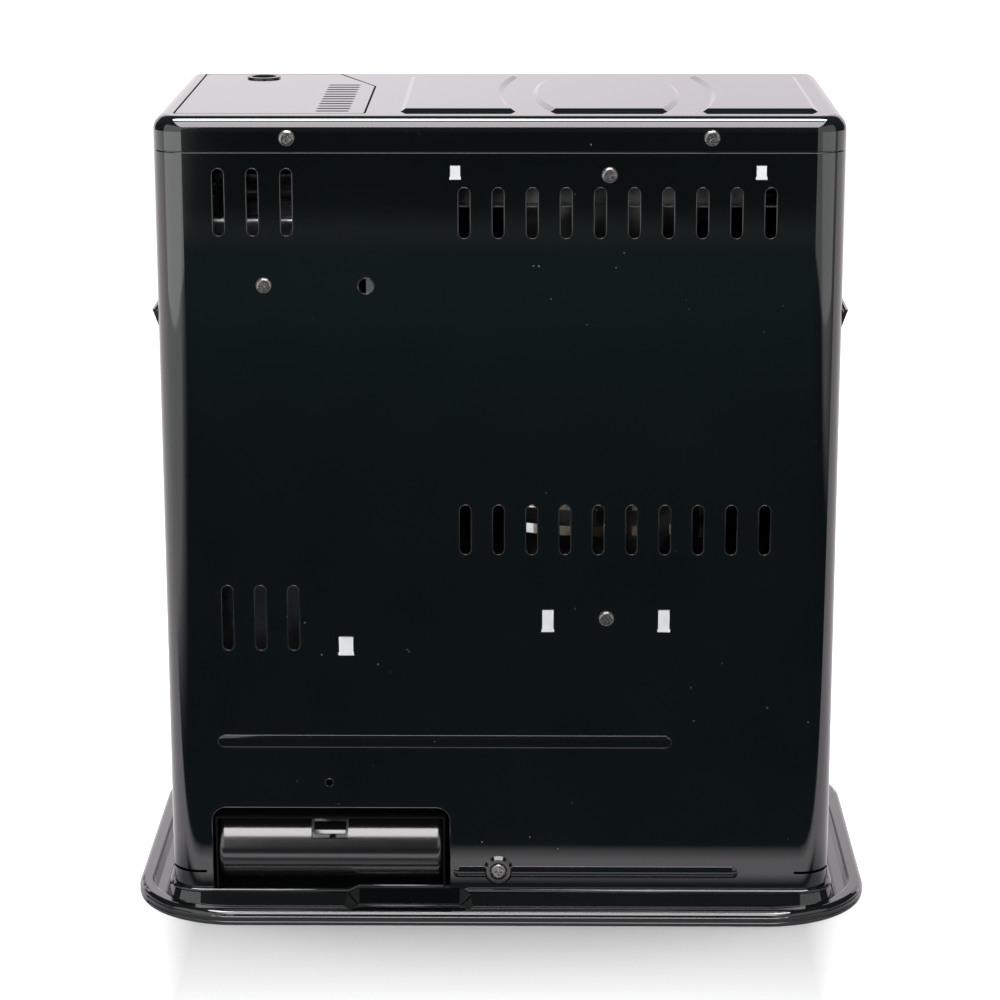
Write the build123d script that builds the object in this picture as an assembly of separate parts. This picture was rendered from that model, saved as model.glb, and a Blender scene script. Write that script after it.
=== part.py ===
from build123d import *
import math
import os

os.makedirs("parts", exist_ok=True)

# Portable liquid fuel radiant heater. Millimetres, +Z up, the front faces -Y, the back +Y.
# The origin is on the floor under the middle of the spill tray.

# Clearances
fit_gap = 0.1
slide_gap = 0.4
press_gap = 0.05
seat_gap = 0.3

# Sheets
sheet = 1.0
tank_sheet = 0.8
tray_sheet = 1.2

# Cabinet and the ledges that the tray leaves round it
cab_w = 404.0
cab_d = 220.0
top_z = 490.0
tray_side_out = 24.0
tray_front_out = 38.0
tray_back_out = 22.0
tray_w = cab_w + 2 * tray_side_out
tray_d = cab_d + tray_front_out + tray_back_out
side_x = cab_w / 2
back_y = tray_d / 2 - tray_back_out
front_y = back_y - cab_d
mid_y = (front_y + back_y) / 2
inner_back_y = back_y - sheet
inner_side_x = side_x - sheet
back_corner_r = 18.0
front_corner_r = 6.0
front_return = 9.0
skirt_h = 20.0
top_edge_r = 8.5
seam_gap = 0.5
seam_round = 0.4
lip_h = skirt_h - top_edge_r
joggle_h = 4.0
seam_z = top_z - skirt_h

# Spill tray
tray_corner_r = 64.0
rim_h = 8.5
rim_w = 9.0
rim_round = 3.0
rim_inner_round = 1.8
plateau_h = 15.5
plateau_top_out = 2.0
plateau_foot_out = 7.0

# Tank bay, tank lid and lid hinge
bay_w = 124.0
bay_wall_x = side_x - bay_w
bay_front_y = front_y + 74.0
bay_flange = 20.0
bay_tip_run = 22.0
bay_front_gap = 6.0
bay_top_gap = 6.0
lid_tip_x = bay_wall_x + 25.0
lid_front_y = front_y + 10.0
lid_back_y = back_y - 16.5
lid_side_x = side_x - 11.5
lid_gap = 1.2
lid_flange = 7.0
lid_corner_r = 2.5
hinge_inset = 7.0
hinge_drop = 6.0
hinge_pin_r = 1.5
hinge_ear_w = 2.0
hinge_ear_half = 5.0
hinge_y = lid_back_y - hinge_inset
hinge_z = top_z - hinge_drop
vent_x0 = bay_wall_x + 10.0
vent_len = 20.0
vent_w = 4.2
vent_pitch = 11.3
vent_count = 12
vent_first_y = lid_back_y - 11.5
finger_x = lid_side_x - 38.9
finger_y = lid_front_y + 20.0
finger_r = 9.0
grommet_flange = 1.6
grommet_wall = 1.2
grommet_h = 1.0

# Heights inside
sump_z0 = 74.0
sump_z1 = 100.0
pan_z1 = 86.0
deck_z = 160.0
chimney_z = 185.0
shield_z = top_z - 52.5
control_z = deck_z - 48.0

# Front window, burner axis and front panel
window_x = (-side_x + 12.0, bay_wall_x - 16.0)
window_z = (deck_z + 8.0, shield_z - 9.5)
window_hem = 8.0
burner_x = (window_x[0] + window_x[1]) / 2
burner_y = front_y + 98.0
panel_z = (plateau_h + 2.5, deck_z - 2.0)
fascia_t = 3.0
fascia_inset = 6.0
fascia_corner_r = 5.0
fascia_edge_r = 1.2

# Raised panels in the top, placed from the burner's middle
panel_h = 1.7
panel_slope = 3.0
panel_y = (front_y + 30.0, back_y - 24.7)
wing_out_x = bay_wall_x - 20.0
wing_in_x = burner_x + 54.6
wing_bow = 8.4
mid_half = 34.2
mid_bow = 10.4

# Louvre slots in the back: rows of upright slots
slot_w = 7.5
slot_pitch = 19.8
slot_first_x = burner_x + 84.4
slot_count = 10
upper_slot_z = (top_z - 71.1, top_z - 40.6)
lower_slot_z = (deck_z + 68.0, deck_z + 99.2)
tank_slot_first_x = side_x - 38.6
tank_slot_count = 3
tank_upper_slot_z = (top_z - 69.7, top_z - 29.5)
tank_lower_slot_z = (deck_z + 7.9, deck_z + 49.1)
peep_x = bay_wall_x
peep_z = top_z - 98.9
peep_r = 4.85
drain_x = side_x - 98.1
drain_z = 84.0
drain_r = 2.5
corner_slit_z = 25.5
corner_slit_h = 1.7
corner_slit_run = 22.0

# Battery case in the back
case_x = (side_x - 166.7, side_x - 29.4)
case_mid_x = (case_x[0] + case_x[1]) / 2
case_r = 21.8
case_z0 = plateau_h + 0.8
case_z1 = case_z0 + 2 * case_r
case_mid_z = case_z0 + case_r
case_end_r = 3.5
case_wall = 1.6
case_out = 1.0
case_depth = 53.0
case_back_y = back_y + case_out
case_front_y = case_back_y - case_depth
case_round_y = case_back_y - case_r
cutout_x = (case_x[0] - 4.8, case_x[1] + 3.4)
cutout_top_z = case_z1 + 8.0
cutout_r = 8.5
cell_r = 16.75
cell_len = 61.0
cell_nub_r = 4.5
cell_nub = 2.0
cell_in = 2.0
rib_w = 2.0
rib_from_end = 14.7
rib_pitch = 32.0
latch_x = (case_x[0] + 57.9, case_x[0] + 80.4)
latch_z0 = case_z1 - 12.5
latch_slit = 0.7
latch_depth = 4.0
housing_t = 1.2
housing_front_gap = 4.0

# The set-back in the tray's plateau under the battery case
notch_x = (cutout_x[0] - 16.5, cutout_x[0] + 67.5)
notch_run = 11.0
notch_depth = 9.0

# Stiffening beads pressed into the back, and the dished seat of the low screw
bead_depth = 0.8
long_bead_x = (-side_x + 97.7, side_x - 30.6)
long_bead_z = (sump_z1 + 6.3, sump_z1 + 14.7)
low_bead_x = (-side_x + 56.2, cutout_x[0] - 1.8)
low_bead_z = (22.5, 30.0)
dish_x = cutout_x[0] - 29.5
dish_z = 27.5
dish_r = 9.2
dish_h = 1.8

# Screws
screw_head_r = 4.7
screw_head_h = 2.4
screw_r = 2.0
screw_len = 6.0
cross_w = 1.1
cross_len = 5.0
cross_depth = 1.3
front_screw_r = 3.4
front_screw_h = 1.6
skirt_screw_x = side_x - 79.0
skirt_screw_z = top_z - 12.0
back_screws = [
    (burner_x, top_z - 33.4),
    (side_x - 64.2, top_z - 98.4),
    (burner_x, deck_z + 28.8),
]

# Zinc tabs: pushed out through slits in the back and folded flat on it
tab_t = 1.0
tab_foot_h = 1.6
tab_groove_h = 0.6
tab_neck = 0.4
upper_tab = (6.6, 8.0)
lower_tab = (7.6, 13.6)
bay_tab = (9.4, 11.5)
upper_tab_x = (burner_x + 89.5, burner_x - 87.9)
upper_tab_z = top_z - 35.0
lower_tab_x = (burner_x + 35.1, burner_x - 34.5)
lower_tab_z = deck_z + 21.5
bay_tab_x = bay_wall_x + 14.5
bay_tab_z = deck_z + 6.5
bracket_out = 12.0
bracket_shelf = 14.0
nut_half = 8.0

# Fuel tank
tank_x = (bay_wall_x + 10.0, side_x - 19.0)
tank_y = (lid_front_y + 14.0, lid_back_y - 13.5)
tank_z = (sump_z1 + 6.0, top_z - 62.0)
tank_chamfer_x = 22.0
tank_chamfer_y = 50.0
tank_corner_r = 8.0
tank_edge_r = 5.0
cap_r = 21.0
cap_h = 20.0
cap_x = tank_x[1] - 48.0
cap_y = mid_y
cap_floor = 2.5
cap_teeth = 24
cap_tooth_r = 1.2
neck_r = 15.0
neck_t = 1.2
neck_h = 11.0
well_gap = 6.0
well_h = 6.0
cap_z1 = tank_z[0] + well_h - tank_sheet - seat_gap
cap_z0 = cap_z1 - cap_h
valve_r = 3.0
valve_out = 1.0
bail_wire_r = 2.0
bail_bend_r = 2.6
bail_pin = 8.0
bail_reach = 36.0
bail_span = 72.0
bail_pivot_y = cap_y - 16.0
bail_rise = 5.0
bail_z = tank_z[1] + bail_rise
bail_ear_t = 3.0
bail_ear_h = 11.0
bail_ear_half = 6.0
grip_r = 4.4
grip_half = 26.0
guide_y = (tank_y[0] + 18.0, tank_y[0] + 58.0)
guide_z = (tank_z[0] + 44.0, tank_z[1] - 98.0)
guide_lip = 14.0
guide_gap = 1.2

# Sump and the receiver for the tank's cap
sump_x = (-side_x + 52.0, side_x - 10.0)
sump_y = (front_y + 18.0, back_y - 56.0)
sump_step_x = bay_wall_x + 12.0
sump_corner_r = 14.0
sump_edge_r = 4.0
sump_flange = 4.0
port_r = 2.5
cup_gap = 9.0
cup_wall = 1.4
cup_rim = 4.0
cup_rim_h = 3.0
cup_hole_r = 3.0
cup_hole_at = 12.0
peg_r = 2.5
leg_w = 16.0
leg_foot = 14.0

# Side handles
handle_y = (back_y - 116.0, back_y - 25.0)
handle_lip_z = top_z - 117.5
handle_lip_h = 12.8
handle_lip_out = 4.6
handle_lip_t = 1.4
handle_open_h = 26.0
handle_depth = 15.0
handle_wall = 1.6
handle_rail = 0.5
handle_rail_h = 4.0

# Wire guard
guard_y_gap = 3.0
wire_r = 1.5
guard_rows = 11
guard_bars = 3
guard_out = 4.0
guard_end = 13.0

# Wick, its rack and its shaft
wick_r = 36.5
wick_t = 3.0
wick_travel = 10.0
wick_gap = 1.1
tube_t = 0.9
shaft_r = 3.0
knob_r = 21.0
knob_len = 16.0
knob_flutes = 20
flute_r = 2.2
flute_out = 1.2
pinion_r = 4.0
pinion_teeth = 8
tooth_h = 1.1
tooth_pitch = 2 * math.pi * pinion_r / pinion_teeth
root_half = tooth_pitch * 0.2
tip_half = tooth_pitch * 0.11
rack_z = (control_z - 16.0, control_z + 6.0)
rack_y = (burner_y - 52.0, burner_y - 45.0)
rack_t = 3.0
carrier_t = 0.8
carrier_h = 14.0
pocket_x = (burner_x - 15.0, burner_x + 9.0)
pocket_y = (burner_y - 58.0, burner_y - 38.0)
pocket_z1 = control_z + 26.0
pocket_t = 1.2
seat_rise = 5.0
chimney_drop = 6.0
housing_top_z = chimney_z - chimney_drop - seat_rise
housing_r_out = wick_r + wick_t / 2 + wick_gap
housing_r_in = wick_r - wick_t / 2 - wick_gap
wick_sunk = 4.0
spark_hole_half = 6.0
wick_top_z = housing_top_z - wick_sunk

# Chimney
glass_r = 56.0
glass_t = 2.4
glass_h = 150.0
seat_out = 6.0
seat_t = 1.5
seat_vents = 12
seat_vent = (14.0, 6.0)
base_t = 1.2
base_z = housing_top_z + seat_rise + seat_t
glass_z = base_z + base_t
outer_fire_r = 44.0
inner_fire_r = 30.0
fire_t = 0.7
fire_rows = 7
fire_cols = 14
fire_hole_r = 3.0
fire_margin = 10.0
fire_top = chimney_z + glass_h + 6.0
crown_t = 1.2
crown_out = 4.0
collar_t = 1.0
collar_h = 5.0
cross_wire_r = 1.0
cross_wire_z = chimney_z + 6.0
turn_knob_r = 7.5
turn_stem_r = 2.0
turn_knob_in = 20.0

# Reflector and top shield
reflector_in = 2.0
reflector_front = 9.0
reflector_t = 0.6
reflector_rise = 120.0
reflector_back = 36.0
reflector_slit = (6.0, 6.0)
reflector_slit_z = (72.0, 88.0)
reflector_slits = 9
reflector_slit_step = 11.0
shield_t = 0.8
shield_ribs = 6
shield_rib_w = 14.0
shield_rib_h = 1.6
shield_rib_pitch = 36.0

# Front controls
lever_x = burner_x + 66.0
lever_half = 2.5
lever_travel = 12.0
lever_post_short = 4.0
lever_z = control_z + 12.0
lever_grip = (9.0, 14.0, 4.0)
stop_x = burner_x + 106.0
stop_r = 8.0
stop_travel = 4.0
stop_stem_r = 2.0
gauge_x = side_x - 68.0
gauge_half = (14.0, 10.0)
gauge_wall = 3.0

# Igniter
igniter_travel = 6.0
igniter_w = 8.0
igniter_len = 30.0
igniter_guide_short = 4.0
igniter_rise = 4.5
coil_r = 2.2
coil_len = 4.0
igniter_z = deck_z + sheet + igniter_rise
lead_r = 1.4
lead_bend_r = 12.0
lead_in = 10.0
lead_jog = (14.0, 30.0)
lead_clear = 20.0

# Tip-over weight
tip_x = -side_x + 52.0
tip_y = front_y + 62.0
tip_pivot_z = 66.0
tip_r = 9.5
tip_foot = (20.0, 14.0)
tip_ear_y = 12.0
tip_ear_t = 1.4
tip_pin_r = 1.5
tip_bob_z = (plateau_h + 8.0, plateau_h + 26.0)


def block(x0, x1, y0, y1, z0, z1):
    """A box between two corners."""
    size = (x1 - x0, y1 - y0, z1 - z0)
    return Pos((x0 + x1) / 2, (y0 + y1) / 2, (z0 + z1) / 2) * Box(*size)


def column(x, y, z0, z1, r):
    """An upright cylinder."""
    return Pos(x, y, (z0 + z1) / 2) * Cylinder(r, z1 - z0)


def rod_x(x0, x1, y, z, r):
    """A cylinder along X."""
    return Pos((x0 + x1) / 2, y, z) * Rot(0, 90, 0) * Cylinder(r, x1 - x0)


def rod_y(x, y0, y1, z, r):
    """A cylinder along Y."""
    return Pos(x, (y0 + y1) / 2, z) * Rot(90, 0, 0) * Cylinder(r, y1 - y0)


def rounded_plan(w, d, r, z, h):
    """An upright prism on a rounded rectangle about the origin."""
    return extrude(Pos(0, 0, z) * RectangleRounded(w, d, r), h)


def cabinet_plan(inset):
    """The cabinet's outline seen from above, moved in by inset."""
    x = side_x - inset
    y0 = front_y + inset
    y1 = back_y - inset
    rb = back_corner_r - inset
    rf = front_corner_r - inset
    k = math.sqrt(0.5)
    edges = [
        Line((-x + rf, y0), (x - rf, y0)),
        ThreePointArc((x - rf, y0), (x - rf + rf * k, y0 + rf - rf * k), (x, y0 + rf)),
        Line((x, y0 + rf), (x, y1 - rb)),
        ThreePointArc((x, y1 - rb), (x - rb + rb * k, y1 - rb + rb * k), (x - rb, y1)),
        Line((x - rb, y1), (-x + rb, y1)),
        ThreePointArc((-x + rb, y1), (-x + rb - rb * k, y1 - rb + rb * k), (-x, y1 - rb)),
        Line((-x, y1 - rb), (-x, y0 + rf)),
        ThreePointArc((-x, y0 + rf), (-x + rf - rf * k, y0 + rf - rf * k), (-x + rf, y0)),
    ]
    return make_face(edges)


def cabinet_prism(inset, z0, z1):
    """The cabinet's outline, moved in by inset, from one height to another."""
    return extrude(Pos(0, 0, z0) * cabinet_plan(inset), z1 - z0)


def upright_slot(x, z0, z1, width):
    """A cutter for one upright slot with round ends through the back sheet."""
    r = width / 2
    y0 = back_y - 4 * sheet
    y1 = back_y + sheet
    body = block(x - r, x + r, y0, y1, z0 + r, z1 - r)
    return body + rod_y(x, y0, y1, z0 + r, r) + rod_y(x, y0, y1, z1 - r, r)


def flat_bead(x0, x1, z0, z1, y0, y1):
    """A long bar with round ends, used to press a bead into the back sheet."""
    r = (z1 - z0) / 2
    zc = (z0 + z1) / 2
    body = block(x0 + r, x1 - r, y0, y1, z0, z1)
    return body + rod_y(x0 + r, y0, y1, zc, r) + rod_y(x1 - r, y0, y1, zc, r)


def save(shape, name):
    """Writes one sub-part."""
    solids = shape.solids()
    out = solids[0] if len(solids) == 1 else Compound(children=list(solids))
    export_step(out, "parts/" + name + ".step")


# Spill tray: one pressed sheet with a rolled rim, a channel and a plateau for the cabinet
def plateau_form(grow, z0, z1):
    """The plateau as a solid with sloping sides, drawn in by grow."""
    foot_out = plateau_foot_out - grow
    top_out = plateau_top_out - grow
    foot = Pos(0, mid_y, z0) * RectangleRounded(
        cab_w + 2 * foot_out, cab_d + 2 * foot_out, back_corner_r + foot_out)
    top = Pos(0, mid_y, z1) * RectangleRounded(
        cab_w + 2 * top_out, cab_d + 2 * top_out, back_corner_r + top_out)
    return loft([foot, top], ruled=True)


def notch_form(grow, z0, z1):
    """The set-back in the plateau's back wall, under the battery case."""
    y_out = back_y + plateau_foot_out + 2 * plateau_h
    y_in = back_y + plateau_top_out - notch_depth - grow
    slope = notch_run / (notch_depth + plateau_foot_out)
    left_in = notch_x[1] - notch_run + grow
    right_in = notch_x[0] + notch_run - grow
    reach = (y_out - y_in) * slope
    face = make_face(Polyline(
        (left_in, y_in), (left_in + reach, y_out), (right_in - reach, y_out), (right_in, y_in),
        close=True))
    return extrude(Pos(0, 0, z0) * face, z1 - z0)


def base_tray():
    """The pressed tray: rolled rim, channel and plateau, hollow underneath."""
    inner_w = tray_w - 2 * rim_w
    inner_d = tray_d - 2 * rim_w
    inner_r = tray_corner_r - rim_w
    t = tray_sheet
    rim = rounded_plan(tray_w, tray_d, tray_corner_r, 0, rim_h)
    rim = fillet(rim.faces().sort_by(Axis.Z)[-1].edges(), rim_round)
    outer = rim - rounded_plan(inner_w, inner_d, inner_r, t, rim_h)
    outer = fillet(outer.edges().group_by(Axis.Z)[-1], rim_inner_round)
    under = rounded_plan(tray_w - 2 * t, tray_d - 2 * t, tray_corner_r - t, -t, rim_h)
    under -= rounded_plan(inner_w + 2 * t, inner_d + 2 * t, inner_r + t, -2 * t, 2 * rim_h)
    under = fillet(under.edges().group_by(Axis.Z)[-1], rim_inner_round)
    tray = outer - under
    plateau = plateau_form(0, t / 2, plateau_h) - notch_form(0, t, plateau_h + 1)
    hollow = plateau_form(t, -t / 2, plateau_h - t) - notch_form(t, -t, plateau_h + 1)
    return (tray + plateau) - hollow


# Cabinet wrap: back and both sides bent from one sheet
def cabinet_wrap():
    """The back and both sides with their slots, beads, dish, slits and cut-outs."""
    wrap = cabinet_prism(0, plateau_h, seam_z - seam_gap)
    wrap = fillet(wrap.faces().sort_by(Axis.Z)[-1].edges(), seam_round)
    wrap -= cabinet_prism(sheet, plateau_h - 1, seam_z + 1)
    lip = cabinet_prism(sheet + fit_gap, seam_z - 1, seam_z + lip_h)
    lip -= cabinet_prism(2 * sheet + fit_gap, seam_z - 2, seam_z + lip_h + 1)
    joggle = cabinet_prism(sheet, seam_z - joggle_h, seam_z)
    joggle -= cabinet_prism(2 * sheet + fit_gap, seam_z - joggle_h - 1, seam_z + 1)
    wrap = wrap + joggle + lip
    open_x = side_x - front_return
    wrap -= block(-open_x, open_x, front_y - 1, front_y + 30, plateau_h - 1, top_z)
    for x0, x1, z0, z1 in ((*long_bead_x, *long_bead_z), (*low_bead_x, *low_bead_z)):
        wrap += flat_bead(x0, x1, z0, z1, back_y - sheet - bead_depth, back_y - sheet)
        margin = sheet * 0.5
        wrap -= flat_bead(
            x0 + margin, x1 - margin, z0 + margin, z1 - margin, back_y - bead_depth, back_y + 1)
    dish = Pos(dish_x, back_y + dish_h / 2, dish_z) * Rot(-90, 0, 0) * Cone(
        dish_r, dish_r - dish_h, dish_h)
    seat = Pos(dish_x, back_y, dish_z) * Rot(-90, 0, 0) * Cone(
        screw_head_r + 1.4, screw_head_r + 0.6, dish_h * 1.2)
    wrap += dish
    wrap -= Pos(0, dish_h * 0.6, 0) * seat
    for i in range(slot_count):
        x = slot_first_x - i * slot_pitch
        wrap -= upright_slot(x, *upper_slot_z, slot_w)
        wrap -= upright_slot(x, *lower_slot_z, slot_w)
    for i in range(tank_slot_count):
        x = tank_slot_first_x - i * slot_pitch
        wrap -= upright_slot(x, *tank_upper_slot_z, slot_w)
        wrap -= upright_slot(x, *tank_lower_slot_z, slot_w)
    y0 = back_y - 3 * sheet
    y1 = back_y + sheet
    wrap -= rod_y(peep_x, y0, y1, peep_z, peep_r)
    wrap -= rod_y(drain_x, y0, y1, drain_z, drain_r)
    cut = block(*cutout_x, y0, y1, plateau_h - 1, cutout_top_z)
    cut = fillet(cut.edges().filter_by(Axis.Y).group_by(Axis.Z)[-1], cutout_r)
    wrap -= cut
    for sign in (-1, 1):
        x_in = sign * (side_x - corner_slit_run)
        x_out = sign * (side_x + 1)
        wrap -= block(
            min(x_in, x_out), max(x_in, x_out), back_y - corner_slit_run, back_y + 1,
            corner_slit_z, corner_slit_z + corner_slit_h)
        x_side = sign * (side_x - sheet / 2)
        wrap -= block(
            x_side - sheet, x_side + sheet, handle_y[0], handle_y[1],
            handle_lip_z - handle_wall, handle_lip_z + handle_open_h)
    for x, z in back_screws + [(dish_x, dish_z)]:
        wrap -= rod_y(x, y0, y1 + dish_h, z, screw_r)
    for sign in (-1, 1):
        wrap -= rod_y(sign * skirt_screw_x, y0 - sheet, y1, skirt_screw_z, screw_r)
    for x, z, w, h in tab_places():
        wrap -= block(x - w / 2 - fit_gap, x + w / 2 + fit_gap, y0, y1,
                      z - tab_t - fit_gap, z + fit_gap)
    return wrap


# Zinc tabs: pushed out through slits in the back and folded flat on it
def tab_places():
    """Each slit's middle x, top z, width and the height of its folded tab."""
    upper = [(x, upper_tab_z, *upper_tab) for x in upper_tab_x]
    lower = [(x, lower_tab_z, *lower_tab) for x in lower_tab_x]
    return upper + lower + [(bay_tab_x, bay_tab_z, *bay_tab)]


def folded_tab(x, z, w, h):
    """One tab: a tongue through the slit and a leaf standing up against the back's outside."""
    half = w / 2
    y1 = back_y + tab_t
    z0 = z - tab_t
    z_foot = z0 + tab_foot_h
    tongue = block(x - half, x + half, back_y - 3 * sheet, y1, z0, z)
    leaf = block(x - half + tab_neck, x + half - tab_neck, back_y, y1, z0, z0 + h)
    leaf += block(x - half, x + half, back_y, y1, z0, z_foot)
    groove = block(x - w, x + w, back_y + tab_t / 2, y1 + 1, z_foot, z_foot + tab_groove_h)
    return tongue + leaf - groove


def upper_bracket():
    """A flat bar inside the back that carries the top shield."""
    x0 = upper_tab_x[1] - bracket_out
    x1 = upper_tab_x[0] + bracket_out
    z = upper_tab_z
    y0 = inner_back_y - tab_t
    bracket = block(x0, x1, y0, inner_back_y, z - 4 * tab_t, z)
    bracket += block(
        x0, x1, inner_back_y - bracket_shelf, inner_back_y, z - 5 * tab_t, z - 4 * tab_t)
    for tab in tab_places()[:2]:
        bracket += folded_tab(*tab)
    x, z_screw = back_screws[0]
    bracket += block(
        x - nut_half, x + nut_half, y0, inner_back_y, z - 2 * tab_t, z_screw + nut_half)
    return bracket - rod_y(x, y0 - 1, inner_back_y + 1, z_screw, screw_r)


def lower_bracket():
    """An angle inside the back that carries the burner deck."""
    x0 = lower_tab_x[1] - bracket_out
    x1 = lower_tab_x[0] + bracket_out
    z0 = deck_z + sheet
    y0 = inner_back_y - tab_t
    bracket = block(x0, x1, y0, inner_back_y, z0, lower_tab_z + lower_tab[1])
    bracket += block(x0, x1, inner_back_y - bracket_shelf, inner_back_y, z0, z0 + tab_t)
    for tab in tab_places()[2:4]:
        bracket += folded_tab(*tab)
    x, z_screw = back_screws[2]
    return bracket - rod_y(x, y0 - 1, inner_back_y + 1, z_screw, screw_r)


def bay_bracket():
    """A small angle from the tank bay wall to the back."""
    x, z, w, h = tab_places()[4]
    foot = block(
        bay_wall_x, x + w / 2 + bracket_out / 4, inner_back_y - tab_t, inner_back_y,
        z - nut_half, z + h)
    return foot + folded_tab(x, z, w, h)


# Top plate with a raised skirt, three raised panels and the opening for the tank lid
def lid_plan(gap):
    """The tank lid's outline, drawn in by gap."""
    x0 = bay_wall_x + gap
    x1 = lid_side_x - gap
    y0 = lid_front_y + gap
    y1 = lid_back_y - gap
    tip = lid_tip_x + gap
    outline = Polyline((x1, y0), (x1, y1), (x0, y1), (x0, bay_front_y), (tip, y0), close=True)
    plan = make_face(outline)
    return fillet(plan.vertices(), lid_corner_r)


def panel_outline(kind, inset):
    """A raised panel's outline: the middle one bulges, the wings are hollowed towards it."""
    y0 = panel_y[0] + inset
    y1 = panel_y[1] - inset
    ym = (y0 + y1) / 2
    if kind == 0:
        half = mid_half - inset
        bow = half + mid_bow
        x = burner_x
        edges = [
            Line((x - half, y0), (x + half, y0)),
            ThreePointArc((x + half, y0), (x + bow, ym), (x + half, y1)),
            Line((x + half, y1), (x - half, y1)),
            ThreePointArc((x - half, y1), (x - bow, ym), (x - half, y0)),
        ]
        return make_face(edges)
    out = burner_x + kind * (wing_out_x - inset - burner_x)
    near = burner_x + kind * (wing_in_x + inset - burner_x)
    bowed = burner_x + kind * (wing_in_x + inset + wing_bow - burner_x)
    edges = [
        Line((near, y0), (out, y0)),
        Line((out, y0), (out, y1)),
        Line((out, y1), (near, y1)),
        ThreePointArc((near, y1), (bowed, ym), (near, y0)),
    ]
    return make_face(edges)


def raised_panel(kind, drop):
    """One raised panel with sloping edges, lowered by drop."""
    foot = Pos(0, 0, top_z - drop) * panel_outline(kind, 0)
    top = Pos(0, 0, top_z + panel_h - drop) * panel_outline(kind, panel_slope)
    return loft([foot, top], ruled=True)


def top_plate():
    """The raised top with its skirt, its panels and the opening for the lid."""
    plate = cabinet_prism(0, seam_z, top_z)
    plate = fillet(plate.faces().sort_by(Axis.Z)[-1].edges(), top_edge_r)
    plate = fillet(plate.faces().sort_by(Axis.Z)[0].edges(), seam_round)
    hollow = cabinet_prism(sheet, seam_z - 1, top_z - sheet)
    hollow = fillet(hollow.faces().sort_by(Axis.Z)[-1].edges(), top_edge_r - sheet)
    plate -= hollow
    for kind in (-1, 0, 1):
        plate += raised_panel(kind, 0)
    for kind in (-1, 0, 1):
        plate -= raised_panel(kind, sheet)
    plate -= extrude(Pos(0, 0, top_z - 4 * sheet) * lid_plan(0), 8 * sheet)
    for sign in (-1, 1):
        plate -= rod_y(sign * skirt_screw_x, back_y - 3, back_y + 1, skirt_screw_z, screw_r)
    return plate


def tank_lid():
    """The lid over the tank: a plate with turned-down edges, vents and a finger hole."""
    lid = extrude(Pos(0, 0, top_z - sheet) * lid_plan(lid_gap), sheet)
    inner = lid_plan(lid_gap + sheet)
    flange = extrude(Pos(0, 0, top_z - sheet - lid_flange) * lid_plan(lid_gap), lid_flange)
    flange -= extrude(Pos(0, 0, top_z - 3 * lid_flange) * inner, 4 * lid_flange)
    lid += flange
    x0 = bay_wall_x + lid_gap
    x1 = lid_side_x - lid_gap
    ear_r = hinge_pin_r + hinge_ear_w
    for x in (x0, x1 - sheet):
        lid += rod_x(x, x + sheet, hinge_y, hinge_z, ear_r)
    for i in range(vent_count):
        y = vent_first_y - i * vent_pitch
        cutter = block(vent_x0, vent_x0 + vent_len, y - vent_w / 2, y + vent_w / 2,
                       top_z - 2 * sheet, top_z + sheet)
        lid -= fillet(cutter.edges().filter_by(Axis.Z), vent_w / 2 - fit_gap)
    lid -= column(finger_x, finger_y, top_z - 3, top_z + 3, finger_r)
    lid -= rod_x(x0 - 1, x1 + 1, hinge_y, hinge_z, hinge_pin_r + fit_gap)
    return lid


def lid_grommet():
    """A ring pressed into the lid's finger hole."""
    ring = column(finger_x, finger_y, top_z, top_z + grommet_h, finger_r + grommet_flange)
    ring += column(finger_x, finger_y, top_z - 4 * sheet, top_z, finger_r - press_gap)
    return ring - column(finger_x, finger_y, top_z - 9, top_z + 9, finger_r - grommet_wall)


def lid_hinge_ears():
    """Two ears under the top plate with the pins that the lid turns on."""
    ears = []
    for x, side in ((bay_wall_x, -1), (lid_side_x, 1)):
        x_in = x + side * 2 * fit_gap
        x_out = x_in + side * hinge_ear_w
        ear = block(
            min(x_in, x_out), max(x_in, x_out), hinge_y - hinge_ear_half,
            hinge_y + hinge_ear_half, hinge_z - hinge_ear_half + 1, top_z - sheet)
        pin_end = x - side * (lid_gap + 2 * sheet)
        ear += rod_x(min(x_in, pin_end), max(x_in, pin_end), hinge_y, hinge_z, hinge_pin_r)
        ears.append(ear)
    return ears[0] + ears[1]


# Tank bay
def bay_wall():
    """The wall between the burner and the tank, with a flange on the back."""
    x = bay_wall_x
    t = sheet
    z0 = pan_z1
    z1 = seam_z - bay_top_gap
    y0 = front_y + bay_front_gap
    x_tip = x + bay_tip_run
    path = make_face(Polyline(
        (x - t, inner_back_y), (x, inner_back_y), (x, bay_front_y), (x_tip, y0),
        (x_tip - t, y0), (x - t, bay_front_y), close=True))
    wall = extrude(Pos(0, 0, z0) * path, z1 - z0)
    wall += block(x - bay_flange, x, inner_back_y - t, inner_back_y, z0, z1)
    bead_y = inner_back_y - bead_depth - fit_gap
    wall -= block(
        x - bay_flange - 1, x + 1, bead_y, inner_back_y + 1,
        long_bead_z[0] - 1, long_bead_z[1] + 1)
    gap = sump_flange + seat_gap
    return wall - block(
        x - bay_flange - 1, x_tip + 1, sump_y[0] - gap, sump_y[1] + gap, z0 - 1, sump_z1 + fit_gap)


def tank_polygon(inset):
    """The fuel tank's outline seen from above."""
    x0 = tank_x[0] + inset
    x1 = tank_x[1] - inset
    y0 = tank_y[0] + inset
    y1 = tank_y[1] - inset
    shape = make_face(Polyline(
        (x0 + tank_chamfer_x, y0), (x1, y0), (x1, y1), (x0, y1), (x0, y0 + tank_chamfer_y),
        close=True))
    return fillet(shape.vertices(), tank_corner_r)


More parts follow.
